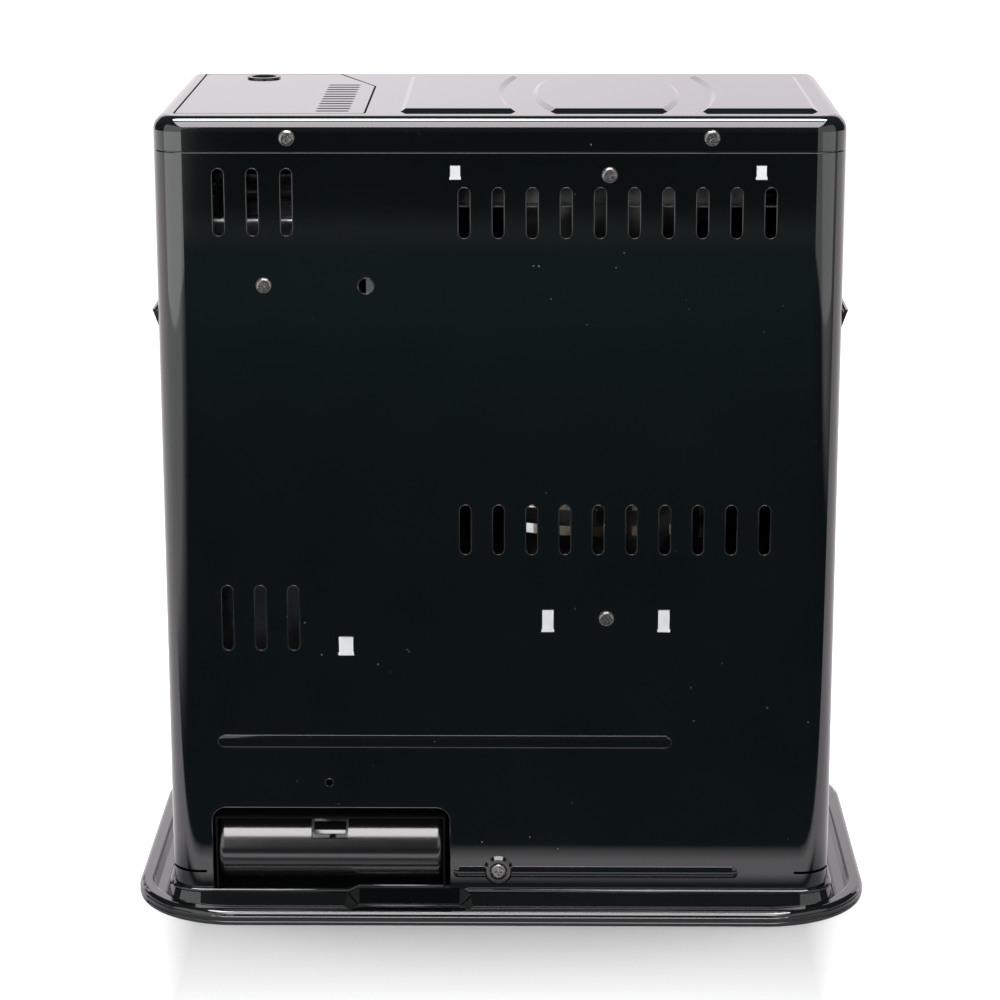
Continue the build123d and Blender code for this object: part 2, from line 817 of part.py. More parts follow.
def fuel_tank():
    """The lift-out tank, a tin box with its mouth at the bottom and a dished top."""
    z0, z1 = tank_z
    body = extrude(Pos(0, 0, z0) * tank_polygon(0), z1 - z0)
    body = fillet(body.faces().sort_by(Axis.Z)[-1].edges(), tank_edge_r)
    hollow = extrude(Pos(0, 0, z0 + tank_sheet) * tank_polygon(tank_sheet), z1 - z0 - 2 * tank_sheet)
    body -= fillet(hollow.faces().sort_by(Axis.Z)[-1].edges(), tank_edge_r - tank_sheet)
    well_z = z0 + well_h
    well_r = cap_r + well_gap
    body += column(cap_x, cap_y, z0, well_z, well_r)
    body -= column(cap_x, cap_y, z0 - 1, well_z - tank_sheet, well_r - tank_sheet)
    body += column(cap_x, cap_y, z0 - neck_h, well_z, neck_r)
    return body - column(cap_x, cap_y, z0 - cap_h, well_z + 1, neck_r - neck_t)


def tank_cap():
    """The screw cap on the tank's mouth."""
    cap = column(cap_x, cap_y, cap_z0, cap_z1, cap_r)
    cap -= column(cap_x, cap_y, cap_z0 + cap_floor, cap_z1 + 1, neck_r + slide_gap)
    cap = fillet(cap.edges().group_by(Axis.Z)[0], cap_floor / 2)
    cap -= column(cap_x, cap_y, cap_z0 - 1, cap_z0 + cap_floor + 1, valve_r + 2 * fit_gap)
    for i in range(cap_teeth):
        a = 2 * math.pi * i / cap_teeth
        r = cap_r + cap_tooth_r / 2
        cap -= column(
            cap_x + r * math.cos(a), cap_y + r * math.sin(a), cap_z0 + cap_floor, cap_z1 + 1,
            cap_tooth_r)
    return cap


def cap_valve():
    """The brass valve pin in the cap, lifted by the receiver's peg when the tank sits down."""
    stem = column(cap_x, cap_y, cap_z0 - valve_out, cap_z0 + 3 * cap_floor, valve_r)
    return stem + column(
        cap_x, cap_y, cap_z0 + cap_floor, cap_z0 + 2 * cap_floor, 2 * valve_r)


def bail_ears():
    """Two folded ears that hold the bail on top of the tank."""
    z = tank_z[1]
    ears = []
    for side in (-1, 1):
        x = cap_x + side * (bail_span / 2 + bail_bend_r + slide_gap + bail_ear_t / 2)
        ear = block(
            x - bail_ear_t / 2, x + bail_ear_t / 2, bail_pivot_y - bail_ear_half,
            bail_pivot_y + bail_ear_half, z, z + bail_ear_h)
        hole = rod_x(x - bail_ear_t, x + bail_ear_t, bail_pivot_y, bail_z, bail_wire_r + fit_gap)
        ears.append(ear - hole)
    return ears[0] + ears[1]


def tank_bail():
    """The wire bail, folded flat on the tank's top."""
    z = bail_z
    half = bail_span / 2
    y_far = bail_pivot_y + bail_reach
    path = FilletPolyline(
        (cap_x - half - bail_pin, bail_pivot_y, z), (cap_x - half, bail_pivot_y, z),
        (cap_x - half, y_far, z), (cap_x + half, y_far, z),
        (cap_x + half, bail_pivot_y, z), (cap_x + half + bail_pin, bail_pivot_y, z),
        radius=[bail_bend_r, 3 * bail_bend_r, 3 * bail_bend_r, bail_bend_r])
    return sweep(Plane(origin=path @ 0, z_dir=path % 0) * Circle(bail_wire_r), path=path)


def bail_grip():
    """A plastic sleeve on the bail."""
    y_far = bail_pivot_y + bail_reach
    sleeve = rod_x(cap_x - grip_half, cap_x + grip_half, y_far, bail_z, grip_r)
    bore = rod_x(
        cap_x - grip_half - 1, cap_x + grip_half + 1, y_far, bail_z, bail_wire_r + fit_gap)
    return sleeve - bore


def tank_guides():
    """An upright guide on the cabinet's side that keeps the tank square in its bay."""
    x0 = tank_x[1] + guide_gap
    y0, y1 = guide_y
    z0, z1 = guide_z
    guide = block(x0, inner_side_x, y0, y0 + sheet, z0, z1)
    guide += block(inner_side_x - sheet, inner_side_x, y0, y1, z0, z1)
    return guide + block(x0, x0 + sheet, y0, y0 + guide_lip, z0, z1)


# Fuel sump under the burner, with a low pan welded to it under the tank
def sump_form(x0, x1, z1, inset):
    """A rounded box on the sump's floor between two x, drawn in by inset."""
    w = x1 - x0 - 2 * inset
    d = sump_y[1] - sump_y[0] - 2 * inset
    place = Pos((x0 + x1) / 2, (sump_y[0] + sump_y[1]) / 2, sump_z0 + inset)
    form = extrude(place * RectangleRounded(w, d, sump_corner_r - inset), z1 - sump_z0 - 2 * inset)
    return fillet(form.faces().sort_by(Axis.Z)[0].edges(), sump_edge_r - inset)


def sump_seam(x0, x1):
    """The seam flange round the waist between two x."""
    r = sump_corner_r + sump_flange
    w = sump_x[1] - sump_x[0] + 2 * sump_flange
    d = sump_y[1] - sump_y[0] + 2 * sump_flange
    place = Pos((sump_x[0] + sump_x[1]) / 2, (sump_y[0] + sump_y[1]) / 2, pan_z1 - tank_sheet)
    ring = extrude(place * RectangleRounded(w, d, r), tank_sheet)
    return ring & block(x0, x1, sump_y[0] - r, sump_y[1] + r, pan_z1 - tank_sheet, pan_z1)


def sump_ports():
    """The holes through which fuel runs from the pan into the sump."""
    reach = 2 * tank_sheet
    z = (sump_z0 + pan_z1) / 2
    left = rod_x(sump_step_x - reach, sump_step_x + reach, cap_y - cup_gap, z, port_r)
    return left + rod_x(sump_step_x - reach, sump_step_x + reach, cap_y + cup_gap, z, port_r)


def sump_tank():
    """The flat pressed tank that feeds the wick."""
    z0, z1 = sump_z0, sump_z1
    t = tank_sheet
    body = sump_form(sump_x[0], sump_step_x, z1, 0)
    body = fillet(body.faces().sort_by(Axis.Z)[-1].edges(), sump_edge_r)
    body += sump_seam(sump_x[0] - sump_corner_r, sump_step_x)
    hollow = sump_form(sump_x[0], sump_step_x, z1, t)
    body -= fillet(hollow.faces().sort_by(Axis.Z)[-1].edges(), sump_edge_r - t)
    body -= column(burner_x, burner_y, z1 - 2 * t, z1 + 1, housing_r_out + tube_t + fit_gap)
    body -= block(
        pocket_x[0] - fit_gap, pocket_x[1] + fit_gap, pocket_y[0] - fit_gap, burner_y,
        z1 - 2 * t, z1 + 1)
    body -= column(burner_x, burner_y, z0 - 1, z0 + 2 * t, housing_r_in + fit_gap)
    return body - sump_ports()


def sump_pan():
    """The low pan under the tank that the receiver's cup stands on."""
    t = tank_sheet
    body = sump_form(sump_step_x, sump_x[1], pan_z1, 0)
    body += sump_seam(sump_step_x, sump_x[1] + sump_corner_r)
    body -= sump_form(sump_step_x, sump_x[1], pan_z1, t)
    for i in range(4):
        a = math.radians(45 + 90 * i)
        body -= column(
            cap_x + cup_hole_at * math.cos(a), cap_y + cup_hole_at * math.sin(a),
            pan_z1 - 2 * t, pan_z1 + 1, cup_hole_r)
    return body - sump_ports()


def sump_stand():
    """Four legs that carry the sump on the tray."""
    legs = []
    half = leg_w / 2
    z1 = sump_z0
    for x in (sump_x[0] + leg_w, sump_x[1] - 1.5 * leg_w):
        for y in (sump_y[0] + leg_foot, sump_y[1] - 1.5 * leg_foot):
            leg = block(x - half, x + half, y, y + sheet, plateau_h, z1)
            leg += block(x - half, x + half, y, y + leg_foot, plateau_h, plateau_h + sheet)
            leg += block(x - half, x + half, y, y + leg_foot, z1 - sheet, z1)
            legs.append(leg)
    return legs[0] + legs[1] + legs[2] + legs[3]


def tank_receiver():
    """The cup on the pan that takes the tank's cap, with the peg that lifts its valve."""
    r = cap_r + cup_gap
    top = sump_z1 + cup_rim_h
    cup = column(cap_x, cap_y, pan_z1, top, r)
    cup += column(cap_x, cap_y, top - cup_rim_h, top, r + cup_rim)
    cup -= column(cap_x, cap_y, pan_z1 + cup_wall, top + 1, r - cup_wall)
    for i in range(4):
        a = math.radians(45 + 90 * i)
        cup -= column(
            cap_x + cup_hole_at * math.cos(a), cap_y + cup_hole_at * math.sin(a),
            pan_z1 - 1, pan_z1 + 2 * cup_wall, cup_hole_r)
    return cup + column(cap_x, cap_y, pan_z1, cap_z0 - valve_out, peg_r)


# Wick housing
def wick_housing():
    """Two upright tubes with the wick between them, and the rack's pocket in front."""
    r_out = housing_r_out
    r_in = housing_r_in
    z_top = housing_top_z
    floor = sump_z0 + tank_sheet
    t = pocket_t
    shell = column(burner_x, burner_y, floor, z_top, r_out + tube_t)
    shell += block(*pocket_x, pocket_y[0], burner_y, floor, pocket_z1)
    shell -= column(burner_x, burner_y, floor - 1, z_top + 1, r_out)
    shell -= block(
        pocket_x[0] + t, pocket_x[1] - t, pocket_y[0] + t, burner_y, floor - 1, pocket_z1 - t)
    inner = column(burner_x, burner_y, sump_z0, z_top, r_in)
    ring = column(burner_x, burner_y, floor, floor + pocket_t, r_out + tube_t)
    shell += inner + ring
    shell -= column(burner_x, burner_y, sump_z0 - 1, z_top + 1, r_in - tube_t)
    shell -= rod_y(burner_x, pocket_y[0] - 1, pocket_y[0] + 2 * t, control_z, shaft_r + fit_gap)
    return shell - block(
        burner_x + r_in + tube_t, burner_x + r_out + 4 * tube_t,
        burner_y - spark_hole_half, burner_y + spark_hole_half,
        igniter_z - coil_r - 1, z_top - wick_sunk)


def wick():
    """The ring of woven wick."""
    z0 = rack_z[0] - 2 * sump_edge_r
    z1 = wick_top_z
    ring = column(burner_x, burner_y, z0, z1, wick_r + wick_t / 2)
    return ring - column(burner_x, burner_y, z0 - 1, z1 + 1, wick_r - wick_t / 2)


def rack_tooth_form(y, z, root, tip):
    """The outline of one tooth at height z, on the plane y, that narrows from root to tip."""
    return make_face(Plane.XZ.offset(-y) * Polyline(
        (root, z - root_half), (tip, z - tip_half), (tip, z + tip_half), (root, z + root_half),
        close=True))


def wick_carrier():
    """The ring that grips the wick, with the rack that the pinion lifts."""
    r0 = wick_r + wick_t / 2
    z0 = rack_z[0]
    z1 = z0 + carrier_h
    ring = column(burner_x, burner_y, z0, z1, r0 + carrier_t)
    ring -= column(burner_x, burner_y, z0 - 1, z1 + 1, r0)
    back = burner_x - pinion_r - tooth_h - carrier_t / 2 - fit_gap
    rack = block(back - rack_t, back, *rack_y, *rack_z)
    web = block(back - rack_t, back, rack_y[0] + 2, burner_y - r0 + tooth_h, z0, z1)
    rack += web - column(burner_x, burner_y, z0 - 1, z1 + 1, r0 + carrier_t / 2)
    first = control_z - tooth_pitch * 3.5
    for i in range(7):
        zc = first + i * tooth_pitch
        if zc - root_half < rack_z[0] or zc + root_half > rack_z[1]:
            continue
        tooth = rack_tooth_form(rack_y[0], zc, back - fit_gap, back + 2 * tooth_h)
        rack += extrude(tooth, -(rack_y[1] - rack_y[0]))
    return ring + rack


def wick_shaft():
    """The spindle from the knob to the pinion in the pocket."""
    y0 = rack_y[0] + 0.5
    y1 = rack_y[1] - 0.5
    shaft = rod_y(burner_x, front_y - knob_len / 2, y1 + 1, control_z, shaft_r)
    gear = rod_y(burner_x, y0, y1, control_z, pinion_r - tooth_h)
    for i in range(pinion_teeth):
        tooth = rack_tooth_form(y0, 0, tooth_h / 2, pinion_r + tooth_h)
        leaf = extrude(tooth, -(y1 - y0))
        gear += Pos(burner_x, 0, control_z) * Rot(0, i * 360 / pinion_teeth, 0) * leaf
    return shaft + gear


def wick_knob():
    """The big wick knob with a fluted grip and a pointer groove."""
    y1 = front_y - fascia_t - seat_t
    y0 = y1 - knob_len
    knob = rod_y(burner_x, y0, y1, control_z, knob_r)
    knob = fillet(knob.edges().group_by(Axis.Y)[0], knob_len / 6)
    for i in range(knob_flutes):
        a = 2 * math.pi * (i + 0.5) / knob_flutes
        x = burner_x + (knob_r + flute_out) * math.cos(a)
        z = control_z + (knob_r + flute_out) * math.sin(a)
        knob -= rod_y(x, y0 - 1, y1 - fascia_t, z, flute_r)
    knob -= block(
        burner_x - 1, burner_x + 1, y0 - 1, y0 + 1, control_z + 2 * shaft_r, control_z + knob_r)
    return knob - rod_y(
        burner_x, front_y - knob_len / 2 - press_gap, y1 + 1, control_z, shaft_r + press_gap)


# Burner chamber
def burner_deck():
    """The plate round the burner that closes the chamber's floor."""
    x0 = -inner_side_x
    plate = block(
        x0, bay_wall_x - sheet, front_y + window_hem, inner_back_y - tab_t, deck_z, deck_z + sheet)
    corner = back_corner_r
    plate -= block(
        x0 - 1, x0 + corner, inner_back_y - corner, inner_back_y, deck_z - 1, deck_z + 2 * sheet)
    return plate - column(
        burner_x, burner_y, deck_z - 1, deck_z + 2 * sheet, housing_r_out + tube_t + seat_gap)


def burner_seat():
    """The ring over the housing's mouth that the chimney stands on, on a slotted skirt."""
    z = housing_top_z + seat_rise
    r = glass_r + seat_out
    ring = column(burner_x, burner_y, z, z + seat_t, r)
    ring -= column(burner_x, burner_y, z - 1, z + seat_t + 1, housing_r_out)
    skirt = column(burner_x, burner_y, deck_z + sheet, z, r)
    skirt -= column(burner_x, burner_y, deck_z, z + 1, r - sheet)
    step = 360 / seat_vents
    for i in range(seat_vents):
        turned = Pos(burner_x, burner_y, igniter_z + seat_t) * Rot(0, 0, step * (i + 0.5))
        skirt -= turned * Pos(r, 0, 0) * Box(seat_out, *seat_vent)
    seat = ring + skirt
    return seat - block(
        burner_x + glass_r, burner_x + r + 2, burner_y - igniter_w, burner_y + igniter_w,
        deck_z, z - seat_t)


def chimney_base():
    """The chimney's foot: a dished ring with two rims for the glass and the outer tube."""
    z = base_z
    ring = column(burner_x, burner_y, z, z + base_t, glass_r + seat_out - collar_t)
    ring -= column(burner_x, burner_y, z - 1, z + 2 * base_t, wick_r + wick_t / 2 + 2 * collar_t)
    ring += tube_ring(outer_fire_r + 2 * collar_t, z + base_t, z + base_t + collar_h, collar_t)
    return ring + tube_ring(
        glass_r + 2 * collar_t + fit_gap, z + base_t, z + base_t + collar_h, collar_t)


def tube_ring(r, z0, z1, t):
    """A short upright tube about the burner axis, r outside."""
    tube = column(burner_x, burner_y, z0, z1, r)
    return tube - column(burner_x, burner_y, z0 - 1, z1 + 1, r - t)


def chimney_glass():
    """The heat resisting glass cylinder."""
    return tube_ring(glass_r, glass_z, glass_z + glass_h, glass_t)


def fire_cylinder(r, z0, z1, hole_r):
    """A perforated steel cylinder."""
    tube = tube_ring(r, z0, z1, fire_t)
    holes = []
    pitch = (z1 - z0 - 2 * fire_margin) / fire_rows
    for row in range(fire_rows):
        for col in range(fire_cols):
            a = (col + 0.25 + 0.5 * (row % 2)) * 360 / fire_cols
            hole = Pos(burner_x, burner_y, z0 + fire_margin + (row + 0.5) * pitch) * Rot(0, 0, a) * Rot(
                0, 90, 0) * Pos(0, 0, r) * Cylinder(hole_r, 8)
            holes.append(hole)
    return tube - holes


def outer_fire_tube():
    """The outer perforated tube that glows."""
    return fire_cylinder(outer_fire_r, glass_z, fire_top, fire_hole_r)


def inner_fire_tube():
    """The inner perforated tube."""
    return fire_cylinder(inner_fire_r, glass_z, fire_top, fire_hole_r * 0.8)


def chimney_crown():
    """The spreader on top of the chimney with its clamping rim on the glass."""
    z = glass_z + glass_h
    t = crown_t
    r_gap = seat_gap + fit_gap
    crown = column(burner_x, burner_y, fire_top, fire_top + t, outer_fire_r + crown_out)
    for r in (outer_fire_r, inner_fire_r):
        crown += tube_ring(
            r + r_gap + collar_t, fire_top - collar_h, fire_top, collar_t)
    rim_r = glass_r + collar_t
    crown += tube_ring(rim_r, z, z + t, rim_r - outer_fire_r - r_gap)
    for i in range(3):
        crown += Pos(burner_x, burner_y, 0) * Rot(0, 0, 120 * i + 30) * block(
            outer_fire_r + r_gap, outer_fire_r + crown_out - r_gap, -3, 3, z, fire_top + t)
    return crown


def chimney_cross_wires():
    """Two cross wires above the raised wick that carry the inner tube in the outer one."""
    z = cross_wire_z
    r = outer_fire_r - fire_t - fit_gap
    wires = rod_x(burner_x - r, burner_x + r, burner_y, z, cross_wire_r)
    wires += rod_y(burner_x, burner_y - r, burner_y + r, z, cross_wire_r)
    return wires - tube_ring(inner_fire_r + fit_gap, z - 3, z + 3, fire_t + 2 * fit_gap)


def chimney_knob():
    """The wire and knob that turn the chimney on its seat."""
    z = glass_z + collar_h
    y1 = burner_y - glass_r - 2 * collar_t - fit_gap
    y0 = front_y + turn_knob_in
    stem = rod_y(burner_x, y0, y1, z, turn_stem_r)
    return stem + Pos(burner_x, y0, z) * Sphere(turn_knob_r)


def reflector():
    """The bright curved reflector behind the burner, with two rows of air slits."""
    x0 = window_x[0] + reflector_in
    x1 = window_x[1] - reflector_in
    xc = (x0 + x1) / 2
    half = (x1 - x0) / 2
    y0 = front_y + reflector_front
    apex = back_y - reflector_back
    spring = apex - reflector_rise
    t = reflector_t
    z0 = deck_z + sheet
    outer = make_face([
        Line((x0, y0), (x0, spring)),
        ThreePointArc((x0, spring), (xc, apex), (x1, spring)),
        Line((x1, spring), (x1, y0)),
        Line((x1, y0), (x0, y0)),
    ])
    inner = make_face([
        Line((x0 + t, y0 - 1), (x0 + t, spring)),
        ThreePointArc((x0 + t, spring), (xc, apex - t), (x1 - t, spring)),
        Line((x1 - t, spring), (x1 - t, y0 - 1)),
        Line((x1 - t, y0 - 1), (x0 + t, y0 - 1)),
    ])
    body = extrude(Pos(0, 0, z0) * outer, shield_z - z0)
    body -= extrude(Pos(0, 0, z0 - 1) * inner, shield_z - z0 + 2)
    radius = (half * half + reflector_rise ** 2) / (2 * reflector_rise)
    cutters = []
    for row_z in reflector_slit_z:
        for i in range(reflector_slits):
            a = 90 + (i - (reflector_slits - 1) / 2) * reflector_slit_step
            cutter = Pos(xc, apex - radius, z0 + row_z) * Rot(0, 0, a) * Pos(radius, 0, 0) * Box(
                reflector_slit[0], 2.6 * reflector_slit[0], reflector_slit[1])
            cutters.append(cutter)
    return body - cutters


def top_shield():
    """The bright ribbed plate over the chamber that keeps the heat off the top."""
    z = shield_z
    t = shield_t
    x0 = -inner_side_x + 5 * fit_gap
    y0 = front_y + reflector_front
    corner = back_corner_r + sheet
    plate = block(x0, bay_wall_x - sheet, y0, inner_back_y - sheet, z, z + t)
    plate -= block(-inner_side_x, corner - inner_side_x, back_y - corner, back_y, z - 1, z + 2)
    for i in range(shield_ribs):
        x = burner_x + (i - (shield_ribs - 1) / 2) * shield_rib_pitch
        plate += block(
            x - shield_rib_w / 2, x + shield_rib_w / 2, y0 + 2 * shield_rib_w,
            back_y - reflector_back, z + t, z + t + shield_rib_h)
    plate += block(x0, x0 + sheet, y0, back_y - 2 * corner, z, z + 2 * reflector_front)
    hanger_y = inner_back_y - bracket_shelf
    hanger = block(
        upper_tab_x[1], upper_tab_x[0] + bracket_out, hanger_y, hanger_y + sheet, z,
        upper_tab_z - 5 * tab_t)
    return plate + hanger


# Front
def front_frame():
    """The front sheet with the window, folded back round its edges."""
    y0 = front_y
    x = side_x - front_corner_r - sheet
    gx, gz = gauge_half
    frame = block(-x, x, y0 - sheet, y0, plateau_h, seam_z)
    frame -= block(*window_x, y0 - 2, y0 + 2, *window_z)
    hem = block(
        window_x[0] - sheet, window_x[1] + sheet, y0, y0 + window_hem,
        window_z[0] - sheet, window_z[1] + sheet)
    hem -= block(*window_x, y0 - 1, y0 + window_hem + 1, *window_z)
    frame += hem
    frame -= rod_y(burner_x, y0 - 3, y0 + 3, control_z, shaft_r + seat_t)
    lever_gap = lever_half + seat_t
    frame -= block(
        lever_x - lever_gap, lever_x + lever_gap, y0 - 3, y0 + 3, *lever_slot_z(2 * seat_t))
    frame -= rod_y(stop_x, y0 - 3, y0 + 3, control_z, stop_r)
    return frame - block(
        gauge_x - gx, gauge_x + gx, y0 - 3, y0 + 3, control_z - gz, control_z + gz)


def lever_slot_z(gap):
    """The lower and upper end of the slot that the lever travels in."""
    stem = lever_half + 2 * fit_gap
    return (lever_z - lever_travel - stem - gap, lever_z + stem + gap)


def control_fascia():
    """The moulded fascia over the lower front, with holes for the controls."""
    x = side_x - fascia_inset
    y1 = front_y - sheet
    y0 = y1 - fascia_t
    gx, gz = gauge_half
    panel = block(-x, x, y0, y1, *panel_z)
    panel = fillet(panel.edges().filter_by(Axis.Y), fascia_corner_r)
    panel = fillet(panel.faces().sort_by(Axis.Y)[0].edges(), fascia_edge_r)
    panel -= rod_y(burner_x, y0 - 1, y1 + 1, control_z, shaft_r + seat_t)
    lever_gap = lever_half + sheet
    panel -= block(
        lever_x - lever_gap, lever_x + lever_gap, y0 - 1, y1 + 1, *lever_slot_z(seat_t))
    panel -= rod_y(stop_x, y0 - 1, y1 + 1, control_z, stop_r - sheet + slide_gap)
    return panel - block(
        gauge_x - gx, gauge_x + gx, y0 - 1, y1 + 1, control_z - gz, control_z + gz)


def gauge_window():
    """The clear window over the fuel gauge."""
    y1 = front_y - sheet
    gx = gauge_half[0] - fit_gap
    gz = gauge_half[1] - fit_gap
    pane = block(
        gauge_x - gx, gauge_x + gx, y1 - fascia_t + sheet / 2, y1 - sheet / 2,
        control_z - gz, control_z + gz)
    return fillet(pane.faces().sort_by(Axis.Y)[0].edges(), fascia_edge_r / 2)


def gauge_body():
    """The gauge box behind the window, standing over the sump's edge."""
    gx, gz = gauge_half
    y0 = front_y + seat_gap
    y1 = y0 + 4 * gauge_wall
    body = block(
        gauge_x - gx - gauge_wall, gauge_x + gx + gauge_wall, y0, y1,
        sump_z1, control_z + gz + gauge_wall)
    return body - block(
        gauge_x - gx + sheet, gauge_x + gx - sheet, y0 - 1, y1 - gauge_wall,
        control_z - gz + sheet, control_z + gz - sheet)


def gauge_pointer():
    """The red pointer of the float gauge."""
    y1 = front_y + seat_gap + 3 * gauge_wall
    half = gauge_half[0] - 5 * sheet
    bar = block(
        gauge_x - half, gauge_x + half, y1 - 2 * sheet, y1 - sheet,
        control_z - sheet, control_z + sheet)
    return bar + rod_y(gauge_x, y1 - 2 * sheet, y1, control_z, 2 * sheet)


def guard_brackets():
    """Four brackets on the front frame: two hinge the guard and two catch it."""
    y1 = front_y - sheet
    yc = y1 - guard_y_gap
    t = 2 * wire_r
    h = guard_out
    out = []
    for z in (window_z[0] + sheet, window_z[1] - 2 * guard_out + sheet):
        x = window_x[0] - guard_out
        lug = block(x - h, x + h, yc - h, y1, z, z + t)
        out.append(lug - column(x, yc, z - 1, z + t + 1, wire_r + fit_gap))
    for z in (window_z[0] + 5 * guard_out, window_z[1] - 6 * guard_out):
        x = window_x[1] + guard_end - guard_out
        out.append(block(x - t, x + t, yc - t, y1, z, z + t))
    return out[0] + out[1] + out[2] + out[3]


def front_guard():
    """The welded wire guard across the window."""
    yc = front_y - sheet - guard_y_gap
    x0 = window_x[0] - guard_out
    x1 = window_x[1] + 2 * wire_r
    z0 = window_z[0] - sheet * 2
    z1 = window_z[1] + sheet * 2
    guard = column(x0, yc, z0, z1, wire_r)
    guard += column(x1, yc, z0 + 2 * guard_out, z1 - 2 * guard_out, wire_r)
    step = (z1 - z0 - 2 * guard_end) / (guard_rows - 1)
    for i in range(guard_rows):
        guard += rod_x(x0, x1 + wire_r, yc, z0 + guard_end + i * step, wire_r)
    span = (x1 - x0) / (guard_bars + 1)
    bar_in = guard_end - 2 * wire_r
    for i in range(guard_bars):
        guard += column(x0 + (i + 1) * span, yc, z0 + bar_in, z1 - bar_in, wire_r)
    return guard


# Levers, buttons and igniter
def ignition_lever():
    """The lever that is pushed down to light the wick."""
    y1 = front_y - sheet - fascia_t
    gx, gy, gz = lever_grip
    stem_z = lever_half + 2 * fit_gap
    tip = block(
        lever_x - gx, lever_x + gx, y1 - gy, y1 - sheet / 2, lever_z - gz, lever_z + gz)
    tip = fillet(tip.edges().filter_by(Axis.X), gz / 2)
    return tip + block(
        lever_x - lever_half, lever_x + lever_half, y1 - sheet, front_y + 2 * lever_travel,
        lever_z - stem_z, lever_z + stem_z)


def lever_guide():
    """The guide post behind the front that the lever runs on."""
    y0 = front_y + seat_gap
    y1 = y0 + 2 * lever_travel - lever_post_short
    half = lever_half + slide_gap
    post = block(lever_x - 3 * half, lever_x + 3 * half, y0, y1, sump_z1, control_z + 2 * lever_travel)
    return post - block(
        lever_x - half, lever_x + half, y0 - 1, y1 + 1, *lever_slot_z(slide_gap))


def stop_button():
    """The red stop button and its stem."""
    y1 = front_y - sheet - fascia_t
    y2 = front_y + stop_stem_r
    head = rod_y(stop_x, y1 - stop_travel - sheet, y2, control_z, stop_r - sheet)
    head = fillet(head.edges().group_by(Axis.Y)[0], seat_t)
    return head + rod_y(stop_x, y2, y2 + 5 * stop_travel, control_z, stop_stem_r)


def stop_bracket():
    """The bracket that guides the stop button's stem and seats its spring."""
    y = front_y + 3 * stop_travel
    post = block(
        stop_x - stop_r - 2, stop_x + stop_r + 2, y, y + 2 * sheet, sump_z1,
        control_z + stop_r + 2)
    return post - rod_y(stop_x, y - 1, y + 2 * sheet + 1, control_z, stop_stem_r + fit_gap)


def igniter():
    """The igniter: a ceramic holder with its glow coil, on a sliding blade."""
    x0 = burner_x + housing_r_out + tube_t + igniter_travel + seat_gap
    x1 = x0 + coil_len
    half = igniter_w / 2
    z = igniter_z
    holder = block(x1, x1 + igniter_len, burner_y - half, burner_y + half,
                   z - half + 0.5, z + half - 0.5)
    return holder + rod_x(x0, x1, burner_y, z, coil_r)


def igniter_guide():
    """The channel on the deck that the igniter slides in."""
    x0 = burner_x + glass_r + seat_out + 2 * sheet
    x1 = x0 + igniter_len - igniter_guide_short
    z = deck_z + sheet
    half = igniter_w / 2 + slide_gap
    top = igniter_z + igniter_w / 2
    guide = block(x0, x1, burner_y - half - seat_t, burner_y + half + seat_t, z, top + sheet)
    return guide - block(
        x0 - 1, x1 + 1, burner_y - half, burner_y + half, igniter_z - igniter_w / 2, top)


# Tip-over weight
def tip_bracket():
    """The forked bracket on the tray that the tip-over weight hangs in."""
    fx, fy = tip_foot
    half_t = tip_ear_t / 2
    fork = block(tip_x - fx, tip_x + fx, tip_y - fy, tip_y + fy, plateau_h, plateau_h + sheet)
    for side in (-1, 1):
        y = tip_y + side * tip_ear_y
        fork += block(
            tip_x - 4 * tip_pin_r, tip_x + 4 * tip_pin_r, y - half_t, y + half_t, plateau_h,
            tip_pivot_z + 4 * tip_pin_r - sheet)
    pin = tip_ear_y + tip_pin_r
    return fork + rod_y(tip_x, tip_y - pin, tip_y + pin, tip_pivot_z, tip_pin_r)


def tip_weight():
    """The weight that trips the burner when the heater is knocked."""
    z0, z1 = tip_bob_z
    bob = column(tip_x, tip_y, z0, z1, tip_r)
    bob = fillet(bob.edges().group_by(Axis.Z)[-1], 2)
    arm = block(
        tip_x - 4, tip_x + 4, tip_y - 2, tip_y + 2, z1 - 2, tip_pivot_z + 2 * tip_pin_r + 1)
    return bob + arm - rod_y(
        tip_x, tip_y - tip_r, tip_y + tip_r, tip_pivot_z, tip_pin_r + fit_gap)


# Battery case
def case_solid(inset):
    """The case's outer form: half round at the back and square in front."""
    x0 = case_x[0] + inset
    x1 = case_x[1] - inset
    r = case_r - inset
    body = rod_x(x0, x1, case_round_y, case_mid_z, r)
    return body + block(x0, x1, case_front_y + inset, case_round_y, case_mid_z - r, case_mid_z + r)


def battery_case():
    """The pull-out case for two cells, open in front, with cradles inside."""
    body = case_solid(0)
    body = fillet(body.edges().filter_by(GeomType.CIRCLE), case_end_r)
    hollow = case_solid(case_wall)
    hollow += Pos(0, -2 * case_wall, 0) * hollow
    body -= hollow
    cell_y = case_round_y - cell_in
    half = rib_w / 2
    ribs = []
    for end, inward in ((case_x[0], 1), (case_x[1], -1)):
        ribs.append(end + inward * rib_from_end)
        ribs.append(end + inward * (rib_from_end + rib_pitch))
    inner = case_solid(case_wall / 2)
    for x in ribs:
        rib = inner & block(
            x - half, x + half, cell_y - cell_r, cell_y + cell_r * 0.7,
            case_z0 + case_wall - 2 * fit_gap, case_z0 + case_wall + cell_r * 0.4)
        body += rib - rod_x(x - rib_w, x + rib_w, cell_y, case_mid_z, cell_r + 1.5 * fit_gap)
    return body - block(
        *latch_x, case_round_y - latch_depth, case_back_y + 1, latch_z0, case_z1 + 1)


